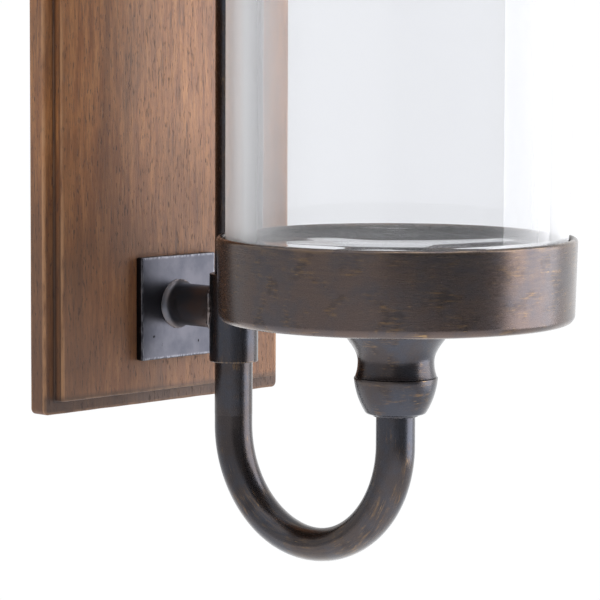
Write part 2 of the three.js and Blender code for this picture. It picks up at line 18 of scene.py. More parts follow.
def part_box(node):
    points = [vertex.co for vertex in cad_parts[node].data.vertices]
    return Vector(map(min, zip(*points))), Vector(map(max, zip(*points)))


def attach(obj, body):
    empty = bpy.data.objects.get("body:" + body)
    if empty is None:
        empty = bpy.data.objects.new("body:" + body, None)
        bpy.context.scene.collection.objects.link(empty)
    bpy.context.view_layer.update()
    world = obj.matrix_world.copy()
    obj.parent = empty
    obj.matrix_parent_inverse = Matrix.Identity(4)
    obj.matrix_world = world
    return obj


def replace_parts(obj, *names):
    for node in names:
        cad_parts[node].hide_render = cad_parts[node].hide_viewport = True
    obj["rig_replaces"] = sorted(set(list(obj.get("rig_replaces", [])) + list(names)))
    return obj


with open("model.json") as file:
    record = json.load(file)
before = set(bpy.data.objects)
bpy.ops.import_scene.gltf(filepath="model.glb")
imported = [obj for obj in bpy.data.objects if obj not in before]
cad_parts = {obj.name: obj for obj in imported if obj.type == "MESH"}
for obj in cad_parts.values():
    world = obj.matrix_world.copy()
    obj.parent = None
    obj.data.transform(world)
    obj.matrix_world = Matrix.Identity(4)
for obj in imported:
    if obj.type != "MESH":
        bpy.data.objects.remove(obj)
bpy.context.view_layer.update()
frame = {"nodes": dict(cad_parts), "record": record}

# %% [markdown]
# ## Places
# Lengths are written in millimetres, as on a maker's drawing, and turned into metres once, when a mesh
# is made. Places are read from the boxes of the CAD nodes, so a piece cannot drift away from the solid
# that it stands for.

# %% Where the pieces are
MM = 0.001


def box_mm(node):
    """Lowest and highest corner of a CAD node, in millimetres."""
    low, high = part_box(node)
    return np.array(low) / MM, np.array(high) / MM


def middle(node):
    """Centre of a CAD node's box, in millimetres."""
    low, high = box_mm(node)
    return (low + high) / 2


BODY_OF = {node: body for body, nodes in frame["record"]["behaviour"]["bodies"].items() for node in nodes}
ROD_Y = middle("rod")[1]
TRAY_Y = middle("tray")[1]
RIM_Z = box_mm("tray")[1][2]
ENDS = ("lower", "upper")
print(f"rod axis y {ROD_Y:.1f}, tray axis y {TRAY_Y:.1f}, tray rim z {RIM_Z:.1f}")

# %% [markdown]
# ## Surfaces from grids
# Nearly every piece here is turned on a lathe, or is an outline carried along a path. Both are a
# function of two parameters, so both come out as a grid of points: rows follow the outline, columns go
# round. One function turns such a grid into a closed mesh. It works on whole arrays, merges points that
# fall together at a pole, and turns the faces outwards by the sign of the enclosed volume.


# %% Grid to mesh
def closed_faces(rows, columns, wrap_rows):
    """Quads between neighbouring rows and columns of a grid; columns always close, rows if asked."""
    r = np.arange(rows if wrap_rows else rows - 1)[:, None]
    c = np.arange(columns)[None, :]
    r2, c2 = (r + 1) % rows, (c + 1) % columns
    quads = np.stack([r * columns + c, r * columns + c2, r2 * columns + c2, r2 * columns + c], -1)
    return quads.reshape(-1, 4)


def without_doubles(points, quads):
    """Points rounded to a tenth of a micrometre and merged; a quad that loses a corner is a triangle.

    Returns the point kept for each place, the place of every point, and both kinds of face.
    """
    keys = np.round(points / (1e-4 * MM)).astype(np.int64)
    _, first, where = np.unique(keys, axis=0, return_index=True, return_inverse=True)
    where = where.reshape(-1)
    quads = where[quads]
    same = quads == np.roll(quads, -1, axis=1)
    lost = same.sum(1)
    whole = quads[lost == 0]
    one = quads[lost == 1]
    shift = (np.argmax(same[lost == 1], axis=1)[:, None] + np.arange(1, 4)) % 4
    triangles = np.take_along_axis(one, shift, axis=1)
    return first, where, whole, triangles


def enclosed_volume(points, triangles):
    """Sum over triangles of a . (b x c) / 6, positive where faces point outwards."""
    a, b, c = (points[triangles[:, i]] for i in range(3))
    return float(np.einsum("ij,ij->", a, np.cross(b, c))) / 6


def surface(name, grid, wrap_rows=False, caps=False, values=None):
    """A mesh object from a grid of points in millimetres, shape (rows, columns, 3).

    caps closes the first and the last row with one flat face each. values holds per-point arrays that
    are stored on the mesh for its material, as numbers (rows, columns) or vectors (rows, columns, 3).
    """
    rows, columns = grid.shape[:2]
    points = grid.reshape(-1, 3) * MM
    first, where, quads, triangles = without_doubles(points, closed_faces(rows, columns, wrap_rows))
    rest = points[first]
    fan = np.concatenate([quads[:, [0, 1, 2]], quads[:, [0, 2, 3]], triangles])
    faces = quads.tolist() + triangles.tolist()
    if caps:
        low, high = where[:columns][::-1], where[(rows - 1) * columns:]
        faces += [low.tolist(), high.tolist()]
        for ring in (low, high):
            fan = np.concatenate([fan, np.stack([np.full(columns - 2, ring[0]), ring[1:-1], ring[2:]], 1)])
    if enclosed_volume(rest - rest.mean(0), fan) < 0:
        faces = [face[::-1] for face in faces]
    mesh = bpy.data.meshes.new(name)
    mesh.from_pydata(rest.tolist(), [], faces)
    for key, array in (values or {}).items():
        array = np.asarray(array, np.float32)
        vector = array.ndim == 3
        flat = array.reshape(-1, 3)[first] if vector else np.broadcast_to(
            array, (rows, columns)).reshape(-1)[first]
        layer = mesh.attributes.new(key, "FLOAT_VECTOR" if vector else "FLOAT", "POINT")
        layer.data.foreach_set("vector" if vector else "value", np.ascontiguousarray(flat).ravel())
    made = bpy.data.objects.new(name, mesh)
    bpy.context.scene.collection.objects.link(made)
    return made


# %% Outlines with eased corners
def eased(corners, steps=7):
    """An outline through corners (across, height, ease, more values).

    Each corner is replaced by the curve (1-t)^2 A + 2t(1-t) C + t^2 B, which leaves one straight side
    at A, ease before the corner C, and joins the next at B, ease after it. The other values stay
    constant along each curve. Returns the outline and the values.
    """
    table = np.array(corners, float)
    here, ease, values = table[:, :2], table[:, 2:3], table[:, 3:]
    before, after = np.roll(here, 1, axis=0) - here, np.roll(here, -1, axis=0) - here
    before /= np.linalg.norm(before, axis=1, keepdims=True) + 1e-12
    after /= np.linalg.norm(after, axis=1, keepdims=True) + 1e-12
    t = np.linspace(0, 1, steps)[None, :, None]
    start, end = (here + ease * before)[:, None], (here + ease * after)[:, None]
    curve = (1 - t) ** 2 * start + 2 * t * (1 - t) * here[:, None] + t ** 2 * end
    return curve.reshape(-1, 2), np.repeat(values, steps, axis=0)


def bezier(points, steps=14):
    """A quadratic or cubic curve through its control points, as an array of points."""
    p = np.array(points, float)
    t = np.linspace(0, 1, steps)[:, None]
    if len(p) == 3:
        return (1 - t) ** 2 * p[0] + 2 * t * (1 - t) * p[1] + t ** 2 * p[2]
    return ((1 - t) ** 3 * p[0] + 3 * t * (1 - t) ** 2 * p[1]
            + 3 * t ** 2 * (1 - t) * p[2] + t ** 3 * p[3])


def arc(middle_at, radius, start, stop, steps=12):
    """Points on a circle between two angles in degrees."""
    angle = np.radians(np.linspace(start, stop, steps))[:, None]
    return np.array(middle_at) + radius * np.concatenate([np.cos(angle), np.sin(angle)], axis=1)


# %% [markdown]
# Brushed metal is scratched in one direction. Each metal mesh carries a vector, `brush`, which is its
# own position with the direction of the scratches squeezed together, so that a plain noise read at that
# vector comes out as long fine lines: round a turned piece, along a tube.

# %% Turned and swept pieces
SQUEEZE = 1 / 8  # how much longer than wide a brushed scratch is
AXES = {"z": np.eye(3), "y": np.array([[1, 0, 0], [0, 0, 1], [0, -1, 0.0]])}


def ripple(angle, seed, size=1.0, waves=(3, 5, 8, 13, 21)):
    """A closed uneven line round a ring: a sum of sines with fixed random phases, from -size to size."""
    rng = np.random.default_rng(seed)
    total = sum(np.sin(n * angle + rng.uniform(0, 2 * np.pi)) * rng.uniform(0.4, 1) for n in waves)
    return size * total / len(waves)


def turned(name, outline, centre, sides=96, axis="z", wrap=True, values=None, radial=None, lay="round"):
    """An outline of (radius, height) turned round an axis: (r cos a, r sin a, h), then placed.

    On axis "y" the height runs towards -Y. radial(angle, height) is added to the radius. lay says
    whether the scratches run round the piece or along its axis.
    """
    angle = np.linspace(0, 2 * np.pi, sides, endpoint=False)
    r, h = outline[:, :1], np.repeat(outline[:, 1:], sides, axis=1)
    r = np.repeat(r, sides, axis=1) + (0 if radial is None else radial(angle[None], h))
    local = np.stack([r * np.cos(angle), r * np.sin(angle), h], -1)
    step = np.linalg.norm(np.diff(outline, axis=0, prepend=outline[:1]), axis=1)
    travel = np.repeat(np.cumsum(step)[:, None], sides, axis=1)
    squeezed = {"round": (SQUEEZE, SQUEEZE, 1), "along": (1, 1, SQUEEZE)}[lay]
    stored = {"brush": np.stack([local[..., 0], local[..., 1], travel], -1) * squeezed * MM}
    stored.update({key: np.asarray(value)[:, None] for key, value in (values or {}).items()})
    return surface(name, local @ AXES[axis] + np.array(centre), wrap_rows=wrap, values=stored)


def swept(name, path, radius, sides=16, seed=1, uneven=0.0):
    """A closed ring of round section along a closed path, uneven like a bead of weld metal."""
    count = len(path)
    along = np.roll(path, -1, axis=0) - np.roll(path, 1, axis=0)
    along /= np.linalg.norm(along, axis=1, keepdims=True)
    outward = path - path.mean(0)
    outward -= np.einsum("ij,ij->i", outward, along)[:, None] * along
    outward /= np.linalg.norm(outward, axis=1, keepdims=True)
    side = np.cross(along, outward)
    turn = np.linspace(0, 2 * np.pi, count, endpoint=False)
    r = (radius * (1 + ripple(turn, seed, uneven, (2, 5, 9, 14, 23, 31))))[:, None, None]
    a = np.linspace(0, 2 * np.pi, sides, endpoint=False)[None, :, None]
    grid = path[:, None] + r * (np.cos(a) * outward[:, None] + np.sin(a) * side[:, None])
    worn = 0.08 + 0.08 * np.cos(a[..., 0])
    return surface(name, grid, wrap_rows=True, values={"brush": grid * MM, "worn": worn})


# %% [markdown]
# A board with a moulded edge, a square plate and a flat hanger are all one outline carried round a
# rectangle. The ring of a rectangle with rounded corners is written with four quarter circles, and its
# straight sides get extra points, because a hand-worked edge is never quite straight.


# %% Outlines carried round a rectangle
def ring(half_width, half_height, inset, corner, arc_steps=6, side_steps=24):
    """Points round a rectangle pulled in by inset: corner centre plus radius times (cos a, sin a).

    inset is an array (rows, 1); the corners' radius shrinks with it but never to nothing.
    """
    radius = np.maximum(corner - inset, 0.35 * corner)
    quarter = np.linspace(0, np.pi / 2, arc_steps)
    angle = (quarter[None] + np.arange(4)[:, None] * np.pi / 2).reshape(1, -1)
    sign_x = np.repeat([1, -1, -1, 1], arc_steps)[None]
    sign_z = np.repeat([1, 1, -1, -1], arc_steps)[None]
    x = sign_x * (half_width - inset - radius) + radius * np.cos(angle)
    z = sign_z * (half_height - inset - radius) + radius * np.sin(angle)
    straight = np.linspace(0, 1, side_steps, endpoint=False)[1:]
    at = (np.concatenate([np.arange(arc_steps), arc_steps - 1 + straight])[None]
          + np.arange(4)[:, None] * arc_steps).reshape(-1)
    whole, part = np.floor(at).astype(int), at % 1
    count = 4 * arc_steps
    mix = lambda v: v[:, whole % count] * (1 - part) + v[:, (whole + 1) % count] * part
    return mix(x), mix(z)


def framed(name, corners, centre, back, width, height, corner, uneven=0.0, seed=1, side_steps=24):
    """A slab whose edge outline (inset, depth, ease, worn, painted shade) is carried round a rectangle.

    x and z come from ring(), y is back minus depth. uneven moves the eased edges in and out.
    """
    outline, values = eased(corners)
    inset, depth = outline[:, :1], outline[:, 1:]
    x, z = ring(width / 2, height / 2, inset, corner, side_steps=side_steps)
    turn = np.linspace(0, 2 * np.pi, x.shape[1], endpoint=False)[None]
    wobble = ripple(turn, seed, uneven, (5, 11, 17, 29, 41)) * values[:, :1]
    x, z = x * (1 - wobble / (width / 2)), z * (1 - wobble / (height / 2))
    y = back - np.repeat(depth, x.shape[1], axis=1)
    grid = np.stack([x + centre[0], y, z + centre[1]], -1)
    brush = np.stack([grid[..., 0], grid[..., 1], grid[..., 2] * SQUEEZE], -1) * MM
    return surface(name, grid, caps=True, values={"brush": brush, "worn": values[:, :1],
                                                  "painted_shade": values[:, 1:2]})


# %% [markdown]
# Holes are bored the way they are in the shop: a cutter of the right shape is taken out of the finished
# blank with a Boolean modifier, which is applied at once, and the cutter is thrown away.


# %% Boring and finishing
def bored(piece, *cutters):
    """The piece with the cutters' shapes taken out of it, one after the other."""
    for cutter in cutters:
        step = piece.modifiers.new("bore", "BOOLEAN")
        step.operation, step.solver, step.object = "DIFFERENCE", "EXACT", cutter
        bpy.context.view_layer.update()
        evaluated = piece.evaluated_get(bpy.context.evaluated_depsgraph_get())
        whole = bpy.data.meshes.new_from_object(evaluated)
        piece.modifiers.clear()
        blank, piece.data = piece.data, whole
        whole.name = piece.name
        used = cutter.data
        bpy.data.objects.remove(cutter)
        for mesh in (blank, used):
            bpy.data.meshes.remove(mesh)
    return piece


def drill(radius, start, depth, x, z, sides=48):
    """A cutter for a round hole that runs from y = start towards -Y."""
    return turned("cutter", np.array([[0, 0], [radius, 0], [radius, depth], [0, depth]], float),
                  (x, start, z), sides, axis="y", wrap=False)


def block(low, high):
    """A cutter with flat sides between two corners."""
    low, high = np.array(low, float), np.array(high, float)
    x = np.array([low[0], high[0], high[0], low[0]])
    z = np.array([low[2], low[2], high[2], high[2]])
    grid = np.stack([np.stack([x, np.full(4, y), z], -1) for y in (low[1], high[1])])
    return surface("cutter", grid, caps=True)


FINISHED = []


def finished(piece, material, *replaced, body=None, sharp=38):
    """Smooth shading with real edges kept sharp, then the material, the body and the CAD nodes.

    The body is that of the CAD node that the piece stands for.
    """
    piece.data.shade_smooth()
    piece.data.set_sharp_from_angle(angle=math.radians(sharp))
    piece.data.materials.clear()
    piece.data.materials.append(material)
    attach(piece, body or BODY_OF[replaced[0]])
    if replaced:
        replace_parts(piece, *replaced)
    FINISHED.append(piece)
    return piece


# %% [markdown]
# ## Materials as expressions
# A material is arithmetic on patterns. Writing it with nodes alone takes many lines, so a small class
# wraps what comes out of a node: adding or multiplying two of them makes the Math node in between.


# %% Shader expressions
class Wire:
    """What one node sends to the next. Arithmetic on it adds Math nodes."""

    def __init__(self, graph, socket):
        self.graph, self.socket = graph, socket

    def math(self, operation, first, second, clamp=False):
        return self.graph.node("ShaderNodeMath", {"operation": operation, "use_clamp": clamp},
                               {0: first, 1: second})

    def __add__(self, other):
        return self.math("ADD", self, other)

    def __sub__(self, other):
        return self.math("SUBTRACT", self, other)

    def __rsub__(self, other):
        return self.math("SUBTRACT", other, self)

    def __mul__(self, other):
        return self.math("MULTIPLY", self, other)

    __radd__, __rmul__ = __add__, __mul__

    def between(self, low, high):
        """0 below low, 1 above high, with a smooth step from one to the other."""
        settings = {"interpolation_type": "SMOOTHSTEP"}
        return self.graph.node("ShaderNodeMapRange", settings, {0: self, 1: low, 2: high, 3: 0.0, 4: 1.0})


class Graph:
    """The nodes of one material or of the world, with the shader's own socket values set by name."""

    def __init__(self, name, kind=bpy.data.materials):
        self.owner = kind.new(name)
        self.owner.use_nodes = True
        self.tree = self.owner.node_tree
        self.tree.nodes.clear()

    def node(self, kind, settings=None, sockets=None, output=0):
        """Any node: its settings are set first, then its sockets get values or links."""
        made = self.tree.nodes.new(kind)
        for key, value in (settings or {}).items():
            setattr(made, key, value)
        for key, value in (sockets or {}).items():
            if isinstance(value, Wire):
                self.tree.links.new(value.socket, made.inputs[key])
            else:
                made.inputs[key].default_value = value
        return Wire(self, made.outputs[output]) if len(made.outputs) else None

    def place(self):
        """The point's place on the object."""
        return self.node("ShaderNodeTexCoord", output="Object")

    def along(self, axis):
        """The point's place along one axis: 1 is depth, 2 is height."""
        return self.node("ShaderNodeSeparateXYZ", None, {0: self.place()}, output=axis)

    def stored(self, name, output="Fac"):
        """A value that the mesh carries."""
        return self.node("ShaderNodeAttribute", {"attribute_name": name}, output=output)

    def scaled(self, vector, x, y, z):
        """A vector with each of its parts multiplied."""
        return self.node("ShaderNodeVectorMath", {"operation": "MULTIPLY"}, {0: vector, 1: (x, y, z)})

    def shifted(self, vector, other, amount):
        """vector + other * amount, with other a colour from -0.5 to 0.5."""
        centred = self.node("ShaderNodeVectorMath", {"operation": "SUBTRACT"}, {0: other, 1: (0.5,) * 3})
        return self.node("ShaderNodeVectorMath", {"operation": "MULTIPLY_ADD"},
                         {0: centred, 1: (amount,) * 3, 2: vector})

    def noise(self, vector, scale, detail=4.0, roughness=0.55, distortion=0.0, output=0):
        """Perlin noise, mostly from 0.3 to 0.7."""
        sockets = {"Vector": vector, "Scale": scale, "Detail": detail, "Roughness": roughness,
                   "Distortion": distortion}
        return self.node("ShaderNodeTexNoise", None, sockets, output)

    def blend(self, factor, first, second, mode="MIX"):
        """Two colours mixed, second over first."""
        return self.node("ShaderNodeMix", {"data_type": "RGBA", "blend_type": mode},
                         {0: factor, 6: first, 7: second}, output=2)

    def bump(self, height, distance, strength=1.0):
        """A normal from a height between 0 and 1."""
        return self.node("ShaderNodeBump", None,
                         {"Height": height, "Distance": distance, "Strength": strength})

    def shader(self, **sockets):
        """The surface shader. Names are the shader's own, with _ for a space."""
        named = {key.replace("_", " "): value for key, value in sockets.items()}
        return self.node("ShaderNodeBsdfPrincipled", None, named)

    def output(self, shader):
        """The material's output node, fed by a shader; the material is then done."""
        self.node("ShaderNodeOutputMaterial", None, {"Surface": shader})
        return self.owner

    def finish(self, **sockets):
        """One surface shader and the output."""
        return self.output(self.shader(**sockets))


def colour(red, green, blue):
    """A linear colour for a socket."""
    return (red, green, blue, 1.0)


# %% [markdown]
# ### Stained wood
# The board is an open-pored hardwood, stained walnut brown and waxed to a satin. Grain runs up the
# board. It is a solid pattern: noise stretched along Z gives the streaks, and the same noise cut by the
# top and bottom faces gives end grain without more work. Short dark pores are a second noise, stretched
# less and cut off high. Shade is painted dark into the cove of the moulding and onto the riser under the
# field, and the stain is rubbed away to pale wood along the raised field's edge; the mesh tells the
# material both with two stored values. Shade is also painted in towards both ends of the board, darkest
# along their last few millimetres.


# %% Wood
def stained_wood():
    g = Graph("stained_wood")
    place = g.place()
    slow = g.noise(g.scaled(place, 1, 1, 0.35), 14.0, 2.0, output=1)
    bent = g.shifted(place, slow, 0.006)
    broad = g.noise(g.scaled(bent, 110, 110, 9), 1.0, 3.0, 0.55)
    streak = g.noise(g.scaled(bent, 420, 420, 34), 1.0, 5.0, 0.68)
    fibre = g.noise(g.scaled(bent, 2000, 2000, 190), 1.0, 5.0, 0.75)
    pore = g.noise(g.scaled(bent, 1900, 1900, 300), 1.0, 2.0, 0.5)
    long_pore = g.noise(g.scaled(bent, 1300, 1300, 75), 1.0, 2.0, 0.5)
    cloud = g.noise(g.scaled(place, 1, 1, 0.6), 26.0, 4.0, 0.55)

    height = g.along(2)
    from_middle = height.math("ABSOLUTE", height, 0)
    # Painted shade: the wood darkens towards both ends of the board, and most of all on the front's last few
    # millimetres at each end.
    shade_painted_toward_ends = from_middle.between(0.110, 0.168) * (0.30 + 1.2 * cloud)
    shade_painted_on_end_edges = from_middle.between(0.2221, 0.2246) * (g.along(1) * -1.0).between(0.0064, 0.0076)

    pale, mid, deep = colour(0.390, 0.170, 0.060), colour(0.225, 0.083, 0.028), colour(0.070, 0.025, 0.011)
    wood = g.blend(streak.between(0.34, 0.68), mid, pale)
    wood = g.blend(broad.between(0.48, 0.74) * 0.50, wood, deep)
    wood = g.blend((1 - fibre.between(0.34, 0.58)) * 0.46, wood, deep)
    grey = g.blend(cloud.between(0.42, 0.66) * 0.38, wood, colour(0.150, 0.078, 0.042))
    # Painted shade towards both ends of the board.
    grey = g.blend(shade_painted_toward_ends * 0.62, grey, colour(0.062, 0.025, 0.012))
    pores = pore.between(0.60, 0.68) * 0.70
    lines = long_pore.between(0.61, 0.69) * 0.50
    wood = g.blend(pores, grey, colour(0.045, 0.024, 0.018))
    wood = g.blend(lines, wood, colour(0.060, 0.032, 0.022))

    rub = g.noise(g.scaled(place, 260, 260, 60), 1.0, 4.0, 0.6)
    worn = g.stored("worn") * rub.between(0.30, 0.62)
    wood = g.blend(worn * 0.75, wood, colour(0.36, 0.19, 0.09))
    # Painted shade along the front's last few millimetres at each end of the board.
    wood = g.blend(shade_painted_on_end_edges * 0.62, wood, colour(0.026, 0.015, 0.012))
    # Painted shade: dark in the cove of the moulding and on the riser under the field's edge, a little on the
    # back edge and sides.
    painted_shade = g.stored("painted_shade") * (0.55 + 0.45 * rub)
    wood = g.blend(painted_shade, wood, colour(0.018, 0.010, 0.008))

    gloss = 0.35 + 0.10 * fibre + 0.20 * pores + 0.08 * cloud + 0.16 * shade_painted_toward_ends
    relief = 0.6 * fibre + 0.25 * streak - 0.8 * pores - 0.7 * lines
    return g.finish(Base_Color=wood, Roughness=gloss, Specular_IOR_Level=0.45,
                    Normal=g.bump(relief, 0.00018, 0.7))


# %% [markdown]
# ### Dark bronze
# The arm and the pan are steel with a brown-black finish, brushed and then rubbed back by hand, so that
# warm metal shows through in short strokes and along the rims. Brown and blue-black drift over each
# other in soft clouds. Strokes, flecks and hair scratches are noise on the `brush` vector, let through
# only where a second, slower noise allows; the finest also gives the roughness and a shallow relief.


# %% Bronze
def dark_bronze(name, brown, blue, rubbed=0.5, gloss=0.30, scratches=1.0):
    g = Graph(name)
    place, brush = g.place(), g.stored("brush", "Vector")
    cloud = g.noise(place, 55.0, 4.0, 0.6)
    patch = g.noise(place, 120.0, 3.0, 0.55, 0.3)
    stroke = g.noise(brush, 900.0, 3.0, 0.6)
    hair = g.noise(brush, 2600.0, 3.0, 0.65)
    fleck = g.noise(brush, 1300.0, 2.0, 0.6)

    metal = g.blend(cloud.between(0.40, 0.62), brown, blue)
    metal = g.blend(patch.between(0.52, 0.70) * 0.5, metal, colour(0.036, 0.029, 0.028))
    warm = stroke.between(0.50, 0.74) * patch.between(0.48, 0.64) * rubbed
    metal = g.blend(warm, metal, colour(0.200, 0.125, 0.065))
    bright = fleck.between(0.66, 0.75) * patch.between(0.50, 0.62) * rubbed
    metal = g.blend(bright, metal, colour(0.36, 0.23, 0.105))
    scratched = hair.between(0.57, 0.70) * patch.between(0.42, 0.58) * rubbed
    metal = g.blend(scratched * 0.7, metal, colour(0.190, 0.135, 0.085))
    worn = g.stored("worn") * stroke.between(0.34, 0.62)
    metal = g.blend(worn * 0.40, metal, colour(0.24, 0.165, 0.10))

    rough = gloss + 0.16 * (hair - 0.5) + 0.10 * (cloud - 0.5) - 0.05 * worn
    height = 0.55 * hair + 0.45 * stroke
    return g.finish(Base_Color=metal, Metallic=0.94, Roughness=rough,
                    Normal=g.bump(height, 0.00004 * scratches, 0.7))


# %% [markdown]
# ### The other metals
# The square plates are flat steel with a blue-grey mill finish under clear wax, smoother and colder
# than the arm, with a few dark pits. Bolts, washers and hangers are zinc-plated: pale, slightly mottled.
# The thin washer under the finial is brass. All three are the same few steps with other numbers.


# %% Steel, zinc and brass
def blued_steel():
    g = Graph("blued_steel")
    place = g.place()
    cloud = g.noise(place, 70.0, 4.0, 0.6)
    grain = g.noise(g.scaled(place, 1, 1, 0.25), 1400.0, 3.0, 0.6)
    pit = g.noise(place, 420.0, 1.0, 0.4).between(0.76, 0.80)
    steel = g.blend(cloud.between(0.35, 0.66), colour(0.060, 0.059, 0.069), colour(0.040, 0.041, 0.051))
    steel = g.blend(pit, steel, colour(0.012, 0.012, 0.014))
    steel = g.blend(g.stored("worn") * grain.between(0.40, 0.60) * 0.5, steel, colour(0.20, 0.20, 0.22))
    # Painted shade, nearly black, on the plate's back edge and sides.
    steel = g.blend(g.stored("painted_shade"), steel, colour(0.014, 0.014, 0.017))
    rough = 0.22 + 0.12 * cloud + 0.06 * grain + 0.3 * pit
    return g.finish(Base_Color=steel, Metallic=0.95, Roughness=rough,
                    Normal=g.bump(0.4 * grain + 0.6 * cloud - pit, 0.00005, 0.6))


def plated(name, pale, dull, rough):
    g = Graph(name)
    place = g.place()
    mottle = g.noise(place, 240.0, 4.0, 0.6)
    fine = g.noise(place, 1700.0, 3.0, 0.6)
    metal = g.blend(mottle.between(0.38, 0.62), pale, dull)
    return g.finish(Base_Color=metal, Metallic=1.0, Roughness=rough + 0.12 * mottle + 0.08 * fine,
                    Normal=g.bump(fine, 0.00003, 0.5))


# %% [markdown]
# ### Felt and glass
# The felt under the glass is short black fibre: a fine bump, a rough surface and a little sheen. The
# glass is two shaders mixed: clear glass, and a thin milky film such as dust leaves. Seen edge on the
# film is thicker, so Layer Weight sets its share, and smears vary it. The thick base has no film: it was
# pressed, and slow waves in its top bend what lies below it.


# %% Felt and glass
def black_felt():
    g = Graph("black_felt")
    place = g.place()
    fuzz = g.noise(place, 2400.0, 4.0, 0.7)
    tuft = g.noise(place, 500.0, 3.0, 0.6)
    cloth = g.blend(fuzz.between(0.35, 0.65), colour(0.010, 0.010, 0.011), colour(0.045, 0.043, 0.042))
    return g.finish(Base_Color=cloth, Roughness=0.88 + 0.1 * tuft, Sheen_Weight=0.35, Sheen_Roughness=0.4,
                    Normal=g.bump(0.6 * fuzz + 0.4 * tuft, 0.0004, 1.0))


GLASS_BOTTOM = 4.2
BASE_TOP = (box_mm("glass")[0][2] + GLASS_BOTTOM) * MM


def clear_glass():
    g = Graph("clear_glass")
    place = g.place()
    smear = g.noise(g.scaled(place, 1, 1, 0.3), 30.0, 4.0, 0.6)
    pressed = 1 - g.along(2).between(BASE_TOP - 0.001, BASE_TOP + 0.004)
    waves = g.noise(g.scaled(place, 1, 1, 0), 20.0, 0.6, 0.4, 0.4) * pressed
    glass = g.shader(Base_Color=colour(0.930, 0.936, 0.952), IOR=1.46, Transmission_Weight=0.97,
                     Specular_IOR_Level=0.2, Roughness=0.006 + 0.02 * smear.between(0.5, 0.75),
                     Normal=g.bump(waves, 0.0050, 1.0))
    film = g.shader(Base_Color=g.blend(smear, colour(0.70, 0.70, 0.71), colour(0.76, 0.76, 0.77)),
                    Roughness=0.6 + 0.2 * smear)
    edge_on = g.node("ShaderNodeLayerWeight", None, {"Blend": 0.5}, output=1).between(0.10, 0.62)
    amount = edge_on * (0.30 + 0.20 * smear) * (1 - pressed)
    return g.output(g.node("ShaderNodeMixShader", None, {0: amount, 1: glass, 2: film}))


# %% The finishes
WOOD = stained_wood()
PAN_BRONZE = dark_bronze("pan_bronze", colour(0.088, 0.067, 0.062), colour(0.070, 0.062, 0.066), 0.60, 0.28)
ARM_BRONZE = dark_bronze("arm_bronze", colour(0.052, 0.045, 0.046), colour(0.048, 0.050, 0.061), 0.55, 0.27)
STUB_BRONZE = dark_bronze("stub_bronze", colour(0.105, 0.088, 0.088), colour(0.080, 0.083, 0.098), 0.35,
                          0.32, scratches=3.0)
BLUED = blued_steel()
ZINC = plated("zinc_steel", colour(0.60, 0.61, 0.63), colour(0.47, 0.49, 0.53), 0.26)
BRASS = plated("brass", colour(0.62, 0.43, 0.19), colour(0.50, 0.33, 0.14), 0.22)
FELT = black_felt()
GLASS = clear_glass()
print("materials:", [m.name for m in bpy.data.materials])

# %% [markdown]
# ## The board
# The blank is one moulded outline carried round a rectangle: an eased back edge, an eased outer edge, a
# small cove where the ledge meets the riser, and a softer edge on the raised field. Then the back is
# bored for the bolts and pocketed for the hangers. Carrying the outline gives clean mitred corners, and
# an uneven field edge as if it had been rubbed down by hand.

# %% Board
BOARD_LOW, BOARD_HIGH = box_mm("backboard")
BOARD_WIDTH, BOARD_HEIGHT = BOARD_HIGH[0] - BOARD_LOW[0], BOARD_HIGH[2] - BOARD_LOW[2]
BOARD_THICKNESS = BOARD_HIGH[1] - BOARD_LOW[1]
LEDGE_WIDTH, LEDGE_DEPTH = 5.0, 4.4
LEDGE_Y = BOARD_THICKNESS - LEDGE_DEPTH
BOLT_HOLE = 3.3
SCREW_REACHES = (-20, 20)  # the hanger's screws, from its middle
POCKET_X, POCKET_Z = 10.3, 26.3  # half the hanger's pocket

# The last column of each corner is painted shade: darkest in the cove and on the riser under the field's
# edge.
board = framed("board", [
    (9, 0, 0, 0, 0), (1.2, 0, 0, 0, 0), (0, 0, 0.9, 0.4, 0.2), (0, 1.3, 0, 0, 0.25),
    (0, LEDGE_Y - 1.2, 0, 0, 0.2), (0, LEDGE_Y, 0.8, 0.9, 0), (1.2, LEDGE_Y, 0, 0, 0.05),
    (LEDGE_WIDTH - 1.0, LEDGE_Y, 0, 0, 0.15), (LEDGE_WIDTH, LEDGE_Y, 0.5, 0, 0.9),
    (LEDGE_WIDTH, LEDGE_Y + 0.9, 0, 0, 0.8), (LEDGE_WIDTH, LEDGE_Y + 1.5, 0, 0, 0.15),
    (LEDGE_WIDTH, BOARD_THICKNESS - 1.9, 0, 0, 0.15), (LEDGE_WIDTH, BOARD_THICKNESS - 1.1, 0, 0, 0.7),
    (LEDGE_WIDTH, BOARD_THICKNESS, 0.8, 0.8, 0.1),
    (LEDGE_WIDTH + 1.0, BOARD_THICKNESS, 0, 0.1, 0), (LEDGE_WIDTH + 5, BOARD_THICKNESS, 0, 0, 0),
], (0, 0), 0, BOARD_WIDTH, BOARD_HEIGHT, 2.2, uneven=0.16, seed=4, side_steps=70)

bolts = [middle(f"{end}_bolt")[2] for end in ENDS]
hangers = [middle(f"{end}_hanger")[2] for end in ENDS]
cutters = [drill(radius, 1, depth, 0, z) for z in bolts for radius, depth in ((BOLT_HOLE, 15), (10, 8))]
cutters += [block((-POCKET_X, 1, z - POCKET_Z), (POCKET_X, -1.9, z + POCKET_Z)) for z in hangers]
cutters += [block((-6, 1, z - 6), (6, -6.5, z + 16)) for z in hangers]
cutters += [drill(1.8, 1, 10.7, 0, z + reach) for z in hangers for reach in SCREW_REACHES]
finished(bored(board, *cutters), WOOD, "backboard")
print("board:", len(board.data.polygons), "faces")

